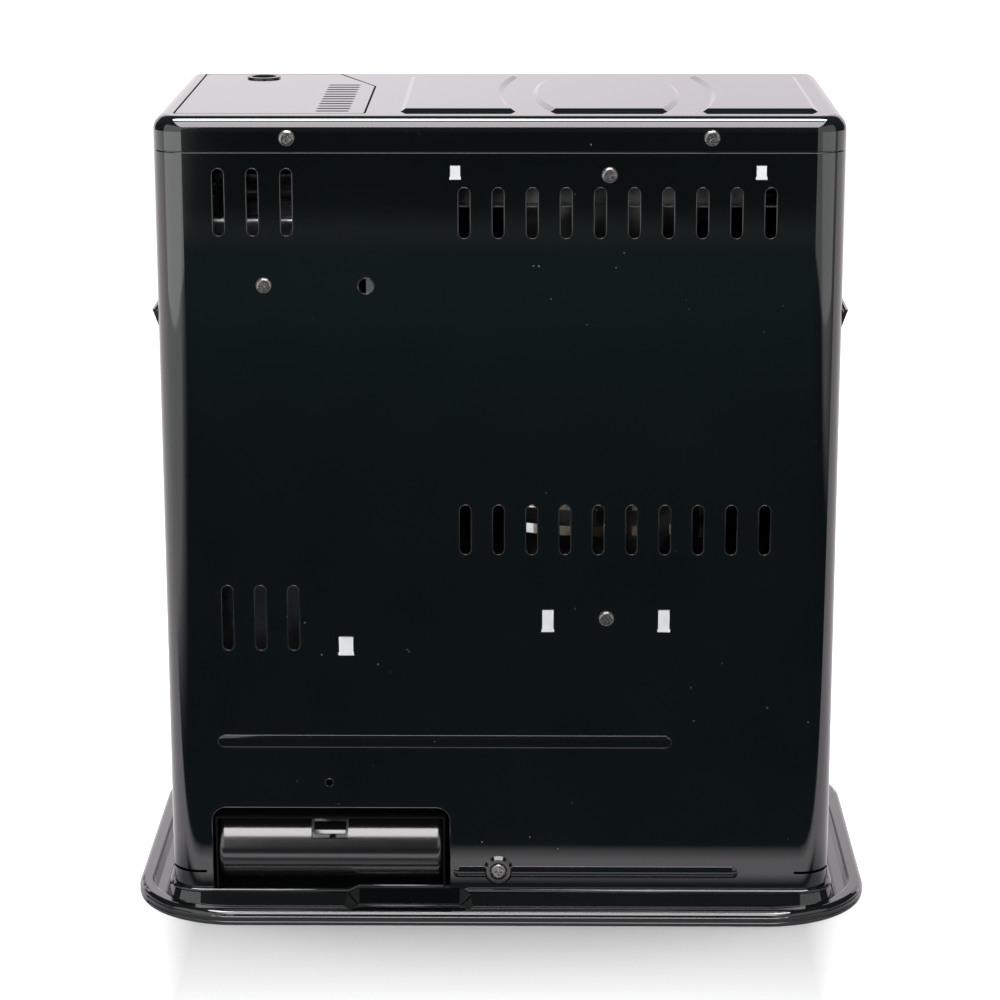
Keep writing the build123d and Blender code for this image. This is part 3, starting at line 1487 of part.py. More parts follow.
def battery_latch():
    """The springy tongue in the case's top that hooks under the housing."""
    x0 = latch_x[0] + latch_slit
    x1 = latch_x[1] - latch_slit
    z0 = latch_z0 + latch_slit
    tongue = rod_x(x0, x1, case_round_y, case_mid_z, case_r) - rod_x(
        x0 - 1, x1 + 1, case_round_y, case_mid_z, case_r - case_wall)
    keep = block(x0, x1, case_round_y, case_back_y + 1, z0, case_z1 + 1)
    return tongue & keep


def battery_cells():
    """Two dry cells end to end."""
    y = case_round_y - cell_in
    cells = []
    for x0 in (case_mid_x + slide_gap, case_mid_x - slide_gap - cell_len):
        x1 = x0 + cell_len - cell_nub
        jacket = rod_x(x0, x1, y, case_mid_z, cell_r)
        jacket = fillet(jacket.edges(), seat_t)
        cells.append(jacket + rod_x(x1, x0 + cell_len, y, case_mid_z, cell_nub_r))
    return cells[0] + cells[1]


def battery_housing():
    """The fixed sleeve round the case, open to the back."""
    g = slide_gap
    t = housing_t
    x0 = case_x[0] - g
    x1 = case_x[1] + g
    y0 = case_front_y - housing_front_gap
    y1 = inner_back_y - 2 * fit_gap
    z1 = case_z1 + g
    sleeve = block(x0 - t, x1 + t, y0 - t, y1, plateau_h, z1 + t)
    return sleeve - block(x0, x1, y0, y1 + 1, plateau_h - 1, z1)


def battery_contacts():
    """The two leaf contacts in the housing's front."""
    y0 = case_front_y - housing_front_gap
    w = 4 * cell_nub_r
    leaves = []
    for x in (case_x[0] + rib_from_end - w / 2, case_x[1] - rib_from_end - w / 2):
        leaves.append(block(
            x, x + w / 2, y0, y0 + housing_front_gap - seat_t, case_mid_z - w / 3,
            case_mid_z + w / 3))
    return leaves[0] + leaves[1]


def igniter_lead():
    """The lead clipped along the sump's edge from the contacts to the igniter."""
    x = case_x[0] + lead_in
    y = sump_y[1] + lead_bend_r
    z0 = case_z1 + slide_gap + housing_t
    z1 = deck_z - lead_r
    path = FilletPolyline(
        (x, y, z0), (x, y, z1), (x - lead_jog[0], y - lead_jog[1], z1),
        (burner_x + glass_r + lead_clear, burner_y, z1),
        radius=lead_bend_r)
    return sweep(Plane(origin=path @ 0, z_dir=path % 0) * Circle(lead_r), path=path)


# Side handles
def side_handle(side):
    """A moulded hand grip in the cabinet's side with a flared lip under its opening."""
    z0 = handle_lip_z
    z1 = z0 + handle_open_h
    y0, y1 = handle_y
    w = handle_wall
    g = fit_gap
    x_out = side_x
    x_in = side_x - handle_depth
    cup = block(x_in, x_out, y0 + g, y1 - g, z0 - w + g, z1 - g)
    cup -= block(x_in + w, x_out + 1, y0 + g + w, y1 - g - w, z0, z1 - w - g)
    t = handle_lip_t
    lip = make_face(Plane.XZ.offset(-y0) * Polyline(
        (x_out, z0 - handle_lip_h), (x_out + handle_lip_out, z0), (x_out + handle_lip_out - t, z0),
        (x_out + t, z0 - w + g), (x_out, z0 - w + g), close=True))
    grip = cup + extrude(lip, -(y1 - y0))
    grip += block(x_out - sheet, x_out + t, y0 + g, y1 - g, z0 - w + g, z0 - 2 * g)
    rail = block(x_out, x_out + handle_rail, y0 - t, y1 + t, z1 - g, z1 + handle_rail_h)
    grip += rail + block(
        x_out - sheet, x_out + handle_rail / 2, y0 + g, y1 - g, z1 - w - g, z1 - g)
    if side < 0:
        grip = mirror(grip, about=Plane.YZ)
    return grip


# Screws
def back_screw(x, z, y):
    """One round-headed screw with a cross recess, its head on the plane y."""
    head = rod_y(x, y, y + screw_head_h, z, screw_head_r)
    head = fillet(head.edges().group_by(Axis.Y)[-1], screw_head_h * 0.7)
    top = y + screw_head_h
    half = cross_len / 2
    head -= block(x - half, x + half, top - cross_depth, top + 1, z - cross_w / 2, z + cross_w / 2)
    head -= block(x - cross_w / 2, x + cross_w / 2, top - cross_depth, top + 1, z - half, z + half)
    shank = rod_y(x, y - screw_len, y, z, screw_r - press_gap)
    return head + shank


def skirt_screws():
    """The two screws in the top plate's skirt."""
    left = back_screw(-skirt_screw_x, skirt_screw_z, back_y)
    return left + back_screw(skirt_screw_x, skirt_screw_z, back_y)


def back_screw_set():
    """The four screws in the back, one of them in its dish."""
    screws = [back_screw(x, z, back_y) for x, z in back_screws]
    screws.append(back_screw(dish_x, dish_z, back_y + dish_h * 0.25))
    return Compound(children=screws)


def front_screws():
    """Three flat screws that hold the front frame."""
    screws = []
    x = side_x - 2 * fascia_inset
    y = front_y - sheet
    for place in ((-x, seam_z - nut_half), (x, seam_z - nut_half), (x, (deck_z + seam_z) / 2)):
        head = rod_y(place[0], y - front_screw_h, y, place[1], front_screw_r)
        screws.append(fillet(head.edges().group_by(Axis.Y)[0], front_screw_h * 0.6))
    return Compound(children=screws)


save(base_tray(), "base_tray")
save(cabinet_wrap(), "cabinet_wrap")
save(top_plate(), "top_plate")
save(tank_lid(), "tank_lid")
save(lid_grommet(), "lid_grommet")
save(lid_hinge_ears(), "lid_hinge_ears")
save(upper_bracket(), "upper_bracket")
save(lower_bracket(), "lower_bracket")
save(bay_bracket(), "bay_bracket")
save(bay_wall(), "bay_wall")
save(fuel_tank(), "fuel_tank")
save(tank_cap(), "tank_cap")
save(cap_valve(), "cap_valve")
save(bail_ears(), "bail_ears")
save(tank_bail(), "tank_bail")
save(bail_grip(), "bail_grip")
save(tank_guides(), "tank_guides")
save(sump_tank(), "sump_tank")
save(sump_pan(), "sump_pan")
save(sump_stand(), "sump_stand")
save(tank_receiver(), "tank_receiver")
save(wick_housing(), "wick_housing")
save(wick(), "wick")
save(wick_carrier(), "wick_carrier")
save(wick_shaft(), "wick_shaft")
save(wick_knob(), "wick_knob")
save(burner_deck(), "burner_deck")
save(burner_seat(), "burner_seat")
save(chimney_base(), "chimney_base")
save(chimney_glass(), "chimney_glass")
save(outer_fire_tube(), "outer_fire_tube")
save(inner_fire_tube(), "inner_fire_tube")
save(chimney_crown(), "chimney_crown")
save(chimney_cross_wires(), "chimney_cross_wires")
save(chimney_knob(), "chimney_knob")
save(reflector(), "reflector")
save(top_shield(), "top_shield")
save(front_frame(), "front_frame")
save(control_fascia(), "control_fascia")
save(gauge_window(), "gauge_window")
save(gauge_body(), "gauge_body")
save(gauge_pointer(), "gauge_pointer")
save(guard_brackets(), "guard_brackets")
save(front_guard(), "front_guard")
save(ignition_lever(), "ignition_lever")
save(lever_guide(), "lever_guide")
save(stop_button(), "stop_button")
save(stop_bracket(), "stop_bracket")
save(igniter(), "igniter")
save(igniter_guide(), "igniter_guide")
save(igniter_lead(), "igniter_lead")
save(tip_bracket(), "tip_bracket")
save(tip_weight(), "tip_weight")
save(battery_case(), "battery_case")
save(battery_latch(), "battery_latch")
save(battery_cells(), "battery_cells")
save(battery_housing(), "battery_housing")
save(battery_contacts(), "battery_contacts")
save(side_handle(1) + side_handle(-1), "side_handles")
save(Compound(children=[skirt_screws(), back_screw_set(), front_screws()]), "screws")
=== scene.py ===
import math

import bmesh
import bpy
from mathutils import Matrix, Vector


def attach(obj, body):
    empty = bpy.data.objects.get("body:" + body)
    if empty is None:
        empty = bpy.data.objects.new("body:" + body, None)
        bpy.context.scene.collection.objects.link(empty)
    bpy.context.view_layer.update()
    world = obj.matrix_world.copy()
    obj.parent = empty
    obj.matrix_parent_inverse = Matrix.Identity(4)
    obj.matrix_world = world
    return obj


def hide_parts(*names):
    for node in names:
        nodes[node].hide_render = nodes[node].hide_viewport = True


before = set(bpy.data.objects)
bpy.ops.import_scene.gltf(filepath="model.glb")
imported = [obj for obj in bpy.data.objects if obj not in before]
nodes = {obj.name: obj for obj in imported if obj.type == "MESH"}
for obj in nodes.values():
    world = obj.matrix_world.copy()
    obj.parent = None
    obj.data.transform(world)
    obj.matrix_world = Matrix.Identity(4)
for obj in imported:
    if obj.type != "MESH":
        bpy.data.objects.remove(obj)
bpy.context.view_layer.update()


# The room: a white sheet to stand on that sweeps up into a backdrop far in front of the heater's
# window, soft boxes at the sides and overhead, and the camera that looks at the heater's back
# from a little above its top.
class Wire:
    """A socket in a material. Sums and products of it add Math nodes."""

    def __init__(self, tree, socket=None):
        self.tree = tree
        self.socket = socket

    def make(self, kind, settings=None, sockets=None, out=0):
        """Adds any node: its settings first, then values or links into its sockets."""
        node = self.tree.nodes.new("ShaderNode" + kind)
        for name, value in (settings or {}).items():
            if name == "stops":
                ramp = node.color_ramp
                while len(ramp.elements) > 1:
                    ramp.elements.remove(ramp.elements[-1])
                ramp.elements[0].position, ramp.elements[0].color = value[0]
                for place, color in value[1:]:
                    ramp.elements.new(place).color = color
            else:
                setattr(node, name, value)
        for name, value in (sockets or {}).items():
            if isinstance(value, Wire):
                self.tree.links.new(value.socket, node.inputs[name])
            else:
                node.inputs[name].default_value = value
        return Wire(self.tree, node.outputs[out]) if len(node.outputs) else None

    def math(self, operation, *values):
        """One Math node."""
        return self.make("Math", {"operation": operation}, dict(enumerate(values)))

    def split(self, kind="XYZ", source="Vector"):
        """The three parts of a place, a direction or a colour."""
        outputs = self.make("Separate" + kind, None, {source: self}).socket.node.outputs
        return [Wire(self.tree, socket) for socket in outputs]

    def __add__(self, other):
        return self.math("ADD", self, other)

    __radd__ = __add__

    def __sub__(self, other):
        return self.math("SUBTRACT", self, other)

    def __rsub__(self, other):
        return self.math("SUBTRACT", other, self)

    def __mul__(self, other):
        return self.math("MULTIPLY", self, other)

    __rmul__ = __mul__

    def step(self, low, high):
        """0 below low, 1 above high, and a straight ramp between."""
        settings = {"clamp": True}
        sockets = {"Value": self, "From Min": low, "From Max": high}
        return self.make("MapRange", settings, sockets)

    def blend(self, first, second):
        """The first colour where this value is 0, the second where it is 1."""
        return self.make("Mix", {"data_type": "RGBA"}, {0: self, 6: first, 7: second}, 2)


def new_paint(name):
    """An empty material, with a wire to start from and a wire for places on the object."""
    material = bpy.data.materials.new(name)
    material.use_nodes = True
    material.node_tree.nodes.clear()
    start = Wire(material.node_tree)
    return material, start, start.make("TexCoord", out=3)


def close_paint(wire, shader):
    """Joins the finished shader to the material's output."""
    wire.make("OutputMaterial", None, {"Surface": shader})


floor_near = 4.6
floor_far = -3.8
floor_half = 4.2
sweep_r = 0.6
sweep_steps = 12
backdrop_top = 2.6
shade_from = (-0.08, 0.13)
shade_out = (0.35, 0.75)
shade_side = (0.185, 0.240)
card_end = (0.207, 0.234)
card_turn = (-0.35, 0.35)
foot_from = (0.0, 0.118)
foot_end = (0.166, 0.184)
foot_side = (0.25, 0.32)
foot_edge = (0.150, 0.160)
aisle = 0.102
left_zone = (0.40, 0.80)
right_zone = (1.05, 1.35)
right_fade = (0.3, 0.9)
far_zone = (2.45, 2.85)


def seen_paper(wire, place, side, ahead):
    """The sheet for the camera: paper under white light with a white glow on top, and the glow
    taken out in a patch shaped to the heater's soft shadow, painted shade round the real shadow."""
    out = wire.math("SQRT", side * side + ahead * ahead)
    wide = wire.math("ABSOLUTE", side)
    # Painted shade: where this mask is 1 the white glow is cut, in a patch behind the tray.
    shaded = ahead.step(*shade_from) * (1 - out.step(*shade_out)) * (1 - wide.step(*shade_side))
    light = shaded.blend((1, 1, 1, 1), (0.02, 0.02, 0.02, 1))
    grain = wire.make("TexNoise", None, {"Vector": place, "Scale": 900.0, "Detail": 2.0})
    tone = grain.step(0.3, 0.7).blend((0.66, 0.66, 0.665, 1), (0.70, 0.70, 0.705, 1))
    paper = wire.make("BsdfDiffuse", None, {"Color": tone})
    glow = wire.make("Emission", None, {"Color": light, "Strength": 1.0})
    return wire.make("AddShader", None, {0: paper, 1: glow})


def mirrored_room(wire, side, ahead, mirror):
    """The sheet for every other ray, with painted reflections: a glowing pale card up to a line
    behind the tray, with painted shade to one side and a painted shadow at the tray's foot, a
    glowing pale zone out at each side, and a dim floor between them, painted lighter far off."""
    card = 1 - ahead.step(*card_end)
    # Painted shade: the card is darker towards one side, so the top plate's reflection darkens
    # that way.
    tint = side.step(*card_turn).blend((0.81, 0.76, 0.795, 1), (0.90, 0.857, 0.895, 1))
    wide = wire.math("ABSOLUTE", side)
    # Painted shadow: the card is darker at the tray's foot, where the heater's shadow falls.
    foot_shadow = ahead.step(*foot_from) * (1 - ahead.step(*foot_end)) * (1 - wide.step(*foot_side))
    foot_shadow_tone = ahead.step(*foot_edge).blend((0.30, 0.29, 0.31, 1), (0.04, 0.04, 0.04, 1))
    card_tone = foot_shadow.blend(tint, foot_shadow_tone)
    left = (side - ahead * aisle).step(*left_zone)
    right = (-1 * side - ahead * aisle).step(*right_zone)
    right_tone = ahead.step(*right_fade).blend((0.22, 0.22, 0.22, 1), (0.50, 0.50, 0.50, 1))
    flank = left.blend(right_tone, (0.80, 0.81, 0.81, 1))
    # Painted reflection: the card and the side zones glow for gloss and transmission rays only.
    card_glow = wire.make("Emission", None, {"Color": card.blend(flank, card_tone), "Strength": 1.0})
    # Painted light: the dim floor is lighter far off, where the lamps light it less.
    far_painted_light = ahead.step(*far_zone).blend((0.012, 0.020, 0.022, 1), (0.085, 0.095, 0.095, 1))
    dim = wire.make("BsdfDiffuse", None, {"Color": card.blend(far_painted_light, (0.6, 0.6, 0.6, 1))})
    lit = mirror * wire.math("MAXIMUM", card, wire.math("MAXIMUM", left, right))
    return wire.make("MixShader", None, {"Fac": lit, 1: dim, 2: card_glow})


def white_sheet():
    """White paper with painted shade and painted reflections, which the camera sees in one way
    and gloss and metal in another.
    """
    material, wire, place = new_paint("white_sheet")
    rays = wire.make("LightPath").socket.node.outputs
    camera = Wire(wire.tree, rays["Is Camera Ray"])
    mirror = wire.math("MAXIMUM", Wire(wire.tree, rays["Is Glossy Ray"]),
                       Wire(wire.tree, rays["Is Transmission Ray"]))
    side, ahead = place.split()[:2]
    seen = seen_paper(wire, place, side, ahead)
    room = mirrored_room(wire, side, ahead, mirror)
    close_paint(wire, wire.make("MixShader", None, {"Fac": camera, 1: room, 2: seen}))
    return material


def build_sheet():
    """The floor and the backdrop in one bent sheet."""
    profile = [(floor_near, 0.0), (floor_far + sweep_r, 0.0)]
    for i in range(1, sweep_steps + 1):
        a = math.radians(90 * i / sweep_steps)
        profile.append((floor_far + sweep_r * (1 - math.sin(a)), sweep_r * (1 - math.cos(a))))
    profile.append((floor_far, backdrop_top))
    mesh = bpy.data.meshes.new("sheet")
    verts = []
    for y, z in profile:
        verts += [(-floor_half, y, z), (floor_half, y, z)]
    faces = [(2 * i, 2 * i + 1, 2 * i + 3, 2 * i + 2) for i in range(len(profile) - 1)]
    mesh.from_pydata(verts, [], faces)
    mesh.shade_smooth()
    sheet = bpy.data.objects.new("sheet", mesh)
    bpy.context.scene.collection.objects.link(sheet)
    mesh.materials.append(white_sheet())


def soft_box(name, place, target, size, power, gloss=True, flat=True, tint=(1, 1, 1)):
    """One rectangular lamp turned to a point. Gloss and flat say which surfaces it lights."""
    light = bpy.data.lights.new(name, "AREA")
    light.shape = "RECTANGLE"
    light.size, light.size_y = size
    light.energy = power
    light.color = tint
    lamp = bpy.data.objects.new(name, light)
    bpy.context.scene.collection.objects.link(lamp)
    lamp.location = place
    lamp.rotation_euler = (Vector(target) - Vector(place)).to_track_quat("-Z", "Y").to_euler()
    lamp.visible_camera = False
    lamp.visible_glossy = gloss
    lamp.visible_diffuse = flat
    return lamp


build_sheet()
soft_box("overhead", (0.0, -0.055, 1.9), (0.0, -0.055, 0.0), (1.6, 0.41), 42.0)
soft_box("key", (0.0, 2.6, 0.85), (0.0, 0.1, 0.25), (1.6, 0.8), 60.0, gloss=False)
soft_box("ceiling", (0.0, 1.55, 1.95), (0.0, 1.55, 0.0), (1.8, 2.2), 56.0, flat=False,
         tint=(1.0, 0.95, 0.985))
soft_box("left_card", (1.335, 1.6, 0.95), (-0.4, 0.1, 0.95), (2.64, 1.9), 12.5, flat=False)
soft_box("right_card", (-1.42, 1.55, 0.95), (0.4, 0.1, 0.95), (2.4, 1.9), 8.0, flat=False)

world = bpy.data.worlds.new("studio")
bpy.context.scene.world = world
world.use_nodes = True
air = world.node_tree.nodes["Background"].inputs
air["Color"].default_value = (0.98, 0.99, 1.0, 1)
air["Strength"].default_value = 0.04

camera_place = (-0.02136, 1.9235, 0.7291)
pitch = math.radians(14.50)
yaw = math.radians(-0.67)
roll = math.radians(-0.07)
focal_px = 3135.7
frame_px = 1000.0
sensor_mm = 36.0


def aim_camera():
    """The camera at the height and distance that fit the heater's outline."""
    ahead = Vector((-math.sin(yaw), -math.cos(yaw), 0)) * math.cos(pitch)
    ahead -= Vector((0, 0, math.sin(pitch)))
    level = Vector((-math.cos(yaw), math.sin(yaw), 0))
    above = level.cross(ahead)
    right = level * math.cos(roll) + above * math.sin(roll)
    up = right.cross(ahead)
    data = bpy.data.cameras.new("camera")
    data.sensor_width = sensor_mm
    data.lens = sensor_mm * focal_px / frame_px
    data.clip_start = 0.05
    camera = bpy.data.objects.new("camera", data)
    bpy.context.scene.collection.objects.link(camera)
    turn = Matrix((right, up, -ahead)).transposed()
    camera.matrix_world = Matrix.Translation(camera_place) @ turn.to_4x4()
    bpy.context.scene.camera = camera


aim_camera()
bpy.context.scene.view_settings.view_transform = "Standard"


# Cabinet, top, lid and tray: cold rolled sheet, pressed, then coated inside and out with gloss
# black enamel. The coat has a blue green cast, a faint orange peel and a little settled dust.
def gloss_enamel():
    material, wire, place = new_paint("gloss_enamel")
    peel = wire.make("TexNoise", None, {"Vector": place, "Scale": 420.0, "Detail": 2.0})
    wave = wire.make("TexNoise", None, {"Vector": place, "Scale": 7.0, "Detail": 1.0})
    smear = wire.make("TexNoise", None, {"Vector": place, "Scale": 16.0, "Detail": 5.0})
    dust = wire.make("TexVoronoi", None, {"Vector": place, "Scale": 95.0, "Randomness": 1.0})
    spread = wire.make("TexNoise", None, {"Vector": place, "Scale": 9.0, "Detail": 2.0})
    speck = (1 - dust.step(0.035, 0.065)) * spread.step(0.52, 0.62)
    tone = smear.step(0.3, 0.7).blend((0.0030, 0.0048, 0.0052, 1), (0.0038, 0.0058, 0.0063, 1))
    color = (speck * 0.55).blend(tone, (0.22, 0.22, 0.21, 1))
    roughness = smear.step(0.35, 0.75) * 0.035 + 0.045 + speck * 0.4
    height = peel * 0.00000012 + wave * 0.00012
    bump = wire.make("Bump", None, {"Strength": 0.6, "Distance": 1.0, "Height": height})
    shader = wire.make("BsdfPrincipled", None, {
        "Base Color": color, "Roughness": roughness, "IOR": 1.58, "Normal": bump,
        "Coat Weight": 1.0, "Coat Roughness": 0.03, "Coat IOR": 1.58})
    close_paint(wire, shader)
    return material


def dress(material, *names):
    """Gives a finish to CAD nodes."""
    for name in names:
        nodes[name].data.materials.clear()
        nodes[name].data.materials.append(material)


enamel = gloss_enamel()
dress(enamel, "base_tray", "cabinet_wrap", "top_plate", "tank_lid", "front_frame")


# Punched edges of the back: where a slot, a hole or the battery opening was cut before the coat
# was fired, the enamel drew up into a thin round bead along the edge, which shines.
back_y = 0.118
top_z = 0.490
bead_r = 0.00034
bead_out = 0.00010
bead_in = 0.0002
slot_w = 0.0075
slot_pitch = 0.0198
burner_x = -0.064
deck_z = 0.160
burner_slot_x = burner_x + 0.0844
tank_slot_x = 0.1634
slot_rows = [
    (burner_slot_x, 10, top_z - 0.0711, top_z - 0.0406),
    (burner_slot_x, 10, deck_z + 0.068, deck_z + 0.0992),
    (tank_slot_x, 3, top_z - 0.0697, top_z - 0.0295),
    (tank_slot_x, 3, deck_z + 0.0079, deck_z + 0.0491),
]
round_holes = [(0.078, top_z - 0.0989, 0.00485), (0.1039, 0.084, 0.0025)]
cutout_x = (0.0305, 0.176)
cutout_z = (0.0165, 0.0679)
cutout_r = 0.0085
corner_steps = 8


def stadium(x0, x1, z0, z1, steps=8):
    """The outline of a slot with two round ends, as (x, z) points."""
    r = min(x1 - x0, z1 - z0) / 2
    upright = z1 - z0 > x1 - x0
    ends = ((x1 - r, z1 - r), (x0 + r, z0 + r))
    start = 0 if upright else -90
    points = []
    for end, (cx, cz) in enumerate(ends):
        for i in range(steps + 1):
            a = math.radians(start + 180 * end + 180 * i / steps)
            points.append((cx + r * math.cos(a), cz + r * math.sin(a)))
    return points


def add_bead(bm, points, radius, closed=True, sides=8):
    """A round bead along a line of points."""
    rings = []
    count = len(points)
    for i, point in enumerate(points):
        before = points[i - 1] if closed or i else point
        after = points[(i + 1) % count] if closed or i < count - 1 else point
        along = (after - before).normalized()
        across = along.orthogonal() if abs(along.y) > 0.9 else along.cross(Vector((0, 1, 0)))
        across.normalize()
        up = along.cross(across)
        ring = []
        for k in range(sides):
            a = 2 * math.pi * k / sides
            ring.append(bm.verts.new(point + radius * (math.cos(a) * across + math.sin(a) * up)))
        rings.append(ring)
    for i in range(count if closed else count - 1):
        first, second = rings[i], rings[(i + 1) % count]
        for k in range(sides):
            bm.faces.new((first[k], second[k], second[(k + 1) % sides], first[(k + 1) % sides]))
    if not closed:
        bm.faces.new(rings[0])
        bm.faces.new(rings[-1])


def finish_piece(bm, name, body, slot, *materials):
    """Turns the mesh into a smooth piece of a body, in the materials given; the slot is not
    used.
    """
    bmesh.ops.recalc_face_normals(bm, faces=bm.faces)
    mesh = bpy.data.meshes.new(name)
    bm.to_mesh(mesh)
    bm.free()
    mesh.shade_smooth()
    for material in materials:
        mesh.materials.append(material)
    piece = bpy.data.objects.new(name, mesh)
    bpy.context.scene.collection.objects.link(piece)
    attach(piece, body)
    return piece


def slot_rims():
    """The beads round the louvre slots, the two holes and the battery opening."""
    bm = bmesh.new()
    y = back_y - bead_r + bead_out
    for first_x, count, z0, z1 in slot_rows:
        for i in range(count):
            x = first_x - i * slot_pitch
            half = slot_w / 2 - bead_in
            line = stadium(x - half, x + half, z0 + bead_in, z1 - bead_in)
            add_bead(bm, [Vector((px, y, pz)) for px, pz in line], bead_r)
    for x, z, r in round_holes:
        line = stadium(x - r, x + r, z - r, z + r)
        add_bead(bm, [Vector((px, y, pz)) for px, pz in line], bead_r)
    x0, x1 = cutout_x
    z0, z1 = cutout_z
    r = cutout_r
    line = [(x0, z0)]
    for cx, start in ((x0 + r, 180), (x1 - r, 90)):
        for i in range(corner_steps + 1):
            a = math.radians(start - 90 * i / corner_steps)
            line.append((cx + r * math.cos(a), z1 - r + r * math.sin(a)))
    line.append((x1, z0))
    add_bead(bm, [Vector((px, y, pz)) for px, pz in line], bead_r, closed=False)
    finish_piece(bm, "slot_rims", "cabinet", "gloss_enamel", enamel)


slot_rims()


# Rolled edge of the tray and the pressed lines of the back: the rim's sheet is rolled under and
# shows two fine ridges, the two stiffening beads have a round crown, and the plateau's edges are
# drawn round.
tray_half_w = 0.226
tray_half_d = 0.140
tray_corner_r = 0.064
ridge_r = 0.0009
ridge_z = (0.0048, 0.0016)
rim_steps = 16
crown_sunk = 0.00004
crown_rings = 10
crowns = [
    (0.0006, -0.1043, 0.1714, 0.1063, 0.1147),
    (0.0010, -0.1458, 0.0287, 0.0222, 0.0303),
]
cabinet_half_x = 0.202
cabinet_front_y = -0.102
cabinet_corner_r = 0.018
notch_x = (0.025, 0.087)
notch_y = 0.111
plateau_rounds = [
    (0.0015, 0.0015, 0.0145, 0.00584375),
    (0.0070, 0.0006, 0.0014, 0.011),
]


def rim_ridges():
    """Two ridges round the tray's rolled rim."""
    bm = bmesh.new()
    inset = ridge_r * 0.5
    r = tray_corner_r - inset
    for z in ridge_z:
        line = []
        for cx, cy, start in ((1, 1, 0), (-1, 1, 90), (-1, -1, 180), (1, -1, 270)):
            for i in range(rim_steps + 1):
                a = math.radians(start + 90 * i / rim_steps)
                line.append(Vector((cx * (tray_half_w - tray_corner_r) + r * math.cos(a),
                                    cy * (tray_half_d - tray_corner_r) + r * math.sin(a), z)))
        add_bead(bm, line, ridge_r)
    finish_piece(bm, "rim_ridges", "cabinet", "gloss_enamel", enamel)


def bead_crowns():
    """The round crowns of the two beads pressed into the back."""
    bm = bmesh.new()
    for height, x0, x1, z0, z1 in crowns:
        r = (z1 - z0) / 2
        loops = []
        for k in range(crown_rings + 1):
            share = max(1 - k / crown_rings, 0.02)
            inset = r * (1 - share)
            y = back_y + height * (1 - share * share) - crown_sunk
            line = stadium(x0 + inset, x1 - inset, z0 + inset, z1 - inset)
            loops.append([bm.verts.new((px, y, pz)) for px, pz in line])
        bm.faces.new(loops[0])
        for first, second in zip(loops, loops[1:]):
            for i in range(len(first)):
                j = (i + 1) % len(first)
                bm.faces.new((first[i], first[j], second[j], second[i]))
        bm.faces.new(loops[-1])
    finish_piece(bm, "bead_crowns", "cabinet", "gloss_enamel", enamel)


def plateau_edges():
    """The rounded top edge of the plateau, with its set-back, and the round where it meets the
    channel."""
    bm = bmesh.new()
    for out, edge_r, z, run in plateau_rounds:
        half_x = cabinet_half_x + out
        r = cabinet_corner_r + out
        y0, y1 = cabinet_front_y - out, back_y + out
        line = [Vector((notch_x[0] - run, y1, z)), Vector((notch_x[0], notch_y, z)),
                Vector((notch_x[1], notch_y, z)), Vector((notch_x[1] + run, y1, z))]
        for cx, cy, start in ((half_x - r, y1 - r, 90), (half_x - r, y0 + r, 0),
                              (-half_x + r, y0 + r, -90), (-half_x + r, y1 - r, 180)):
            for i in range(corner_steps + 1):
                a = math.radians(start - 90 * i / corner_steps)
                line.append(Vector((cx + r * math.cos(a), cy + r * math.sin(a), z)))
        add_bead(bm, line, edge_r)
    finish_piece(bm, "plateau_edges", "cabinet", "gloss_enamel", enamel)


rim_ridges()
bead_crowns()
plateau_edges()


# Brackets, tabs, walls and tanks: zinc plated sheet, with the faint spangle and the dull bloom
# that plating has. The three brackets are bright where their tabs stand outside the back and
# painted darker inside it, a painted shade.
def zinc_plate(name, low, high, rough, metal, shaded_inside=False):
    material, wire, place = new_paint(name)
    spangle = wire.make("TexVoronoi", None, {"Vector": place, "Scale": 180.0}, 1)
    grains = spangle.split("Color", "Color")[0]
    cloud = wire.make("TexNoise", None, {"Vector": place, "Scale": 30.0, "Detail": 4.0})
    mask = grains * 0.35 + cloud.step(0.3, 0.7) * 0.65
    color = mask.blend(low, high)
    # Painted shade: the part inside the back gets a dark grey in place of the plating.
    if shaded_inside:
        outside = place.split()[1].step(back_y - 0.0012, back_y - 0.0002)
        color = outside.blend((0.22, 0.23, 0.24, 1), color)
    roughness = rough + mask * 0.12
    fine = wire.make("TexNoise", None, {"Vector": place, "Scale": 1200.0, "Detail": 2.0})
    bump = wire.make("Bump", None, {"Strength": 0.3, "Distance": 0.00002, "Height": fine})
    shader = wire.make("BsdfPrincipled", None, {
        "Base Color": color, "Roughness": roughness, "Metallic": metal, "Normal": bump})
    close_paint(wire, shader)
    return material


bright_zinc = zinc_plate("bright_zinc", (0.80, 0.82, 0.85, 1), (0.93, 0.95, 0.98, 1), 0.30, 0.15,
                         shaded_inside=True)
dress(bright_zinc, "upper_bracket", "lower_bracket", "bay_bracket")
zinc = zinc_plate("zinc_steel", (0.50, 0.52, 0.54, 1), (0.74, 0.76, 0.78, 1), 0.24, 1.0)
dress(zinc, "bay_wall", "fuel_tank", "bail_ears", "tank_guides", "sump_tank", "sump_pan",
      "sump_stand", "wick_housing", "wick_carrier", "burner_deck", "burner_seat",
      "guard_brackets", "lever_guide", "stop_bracket", "igniter_guide", "tip_bracket",
      "lid_hinge_ears")


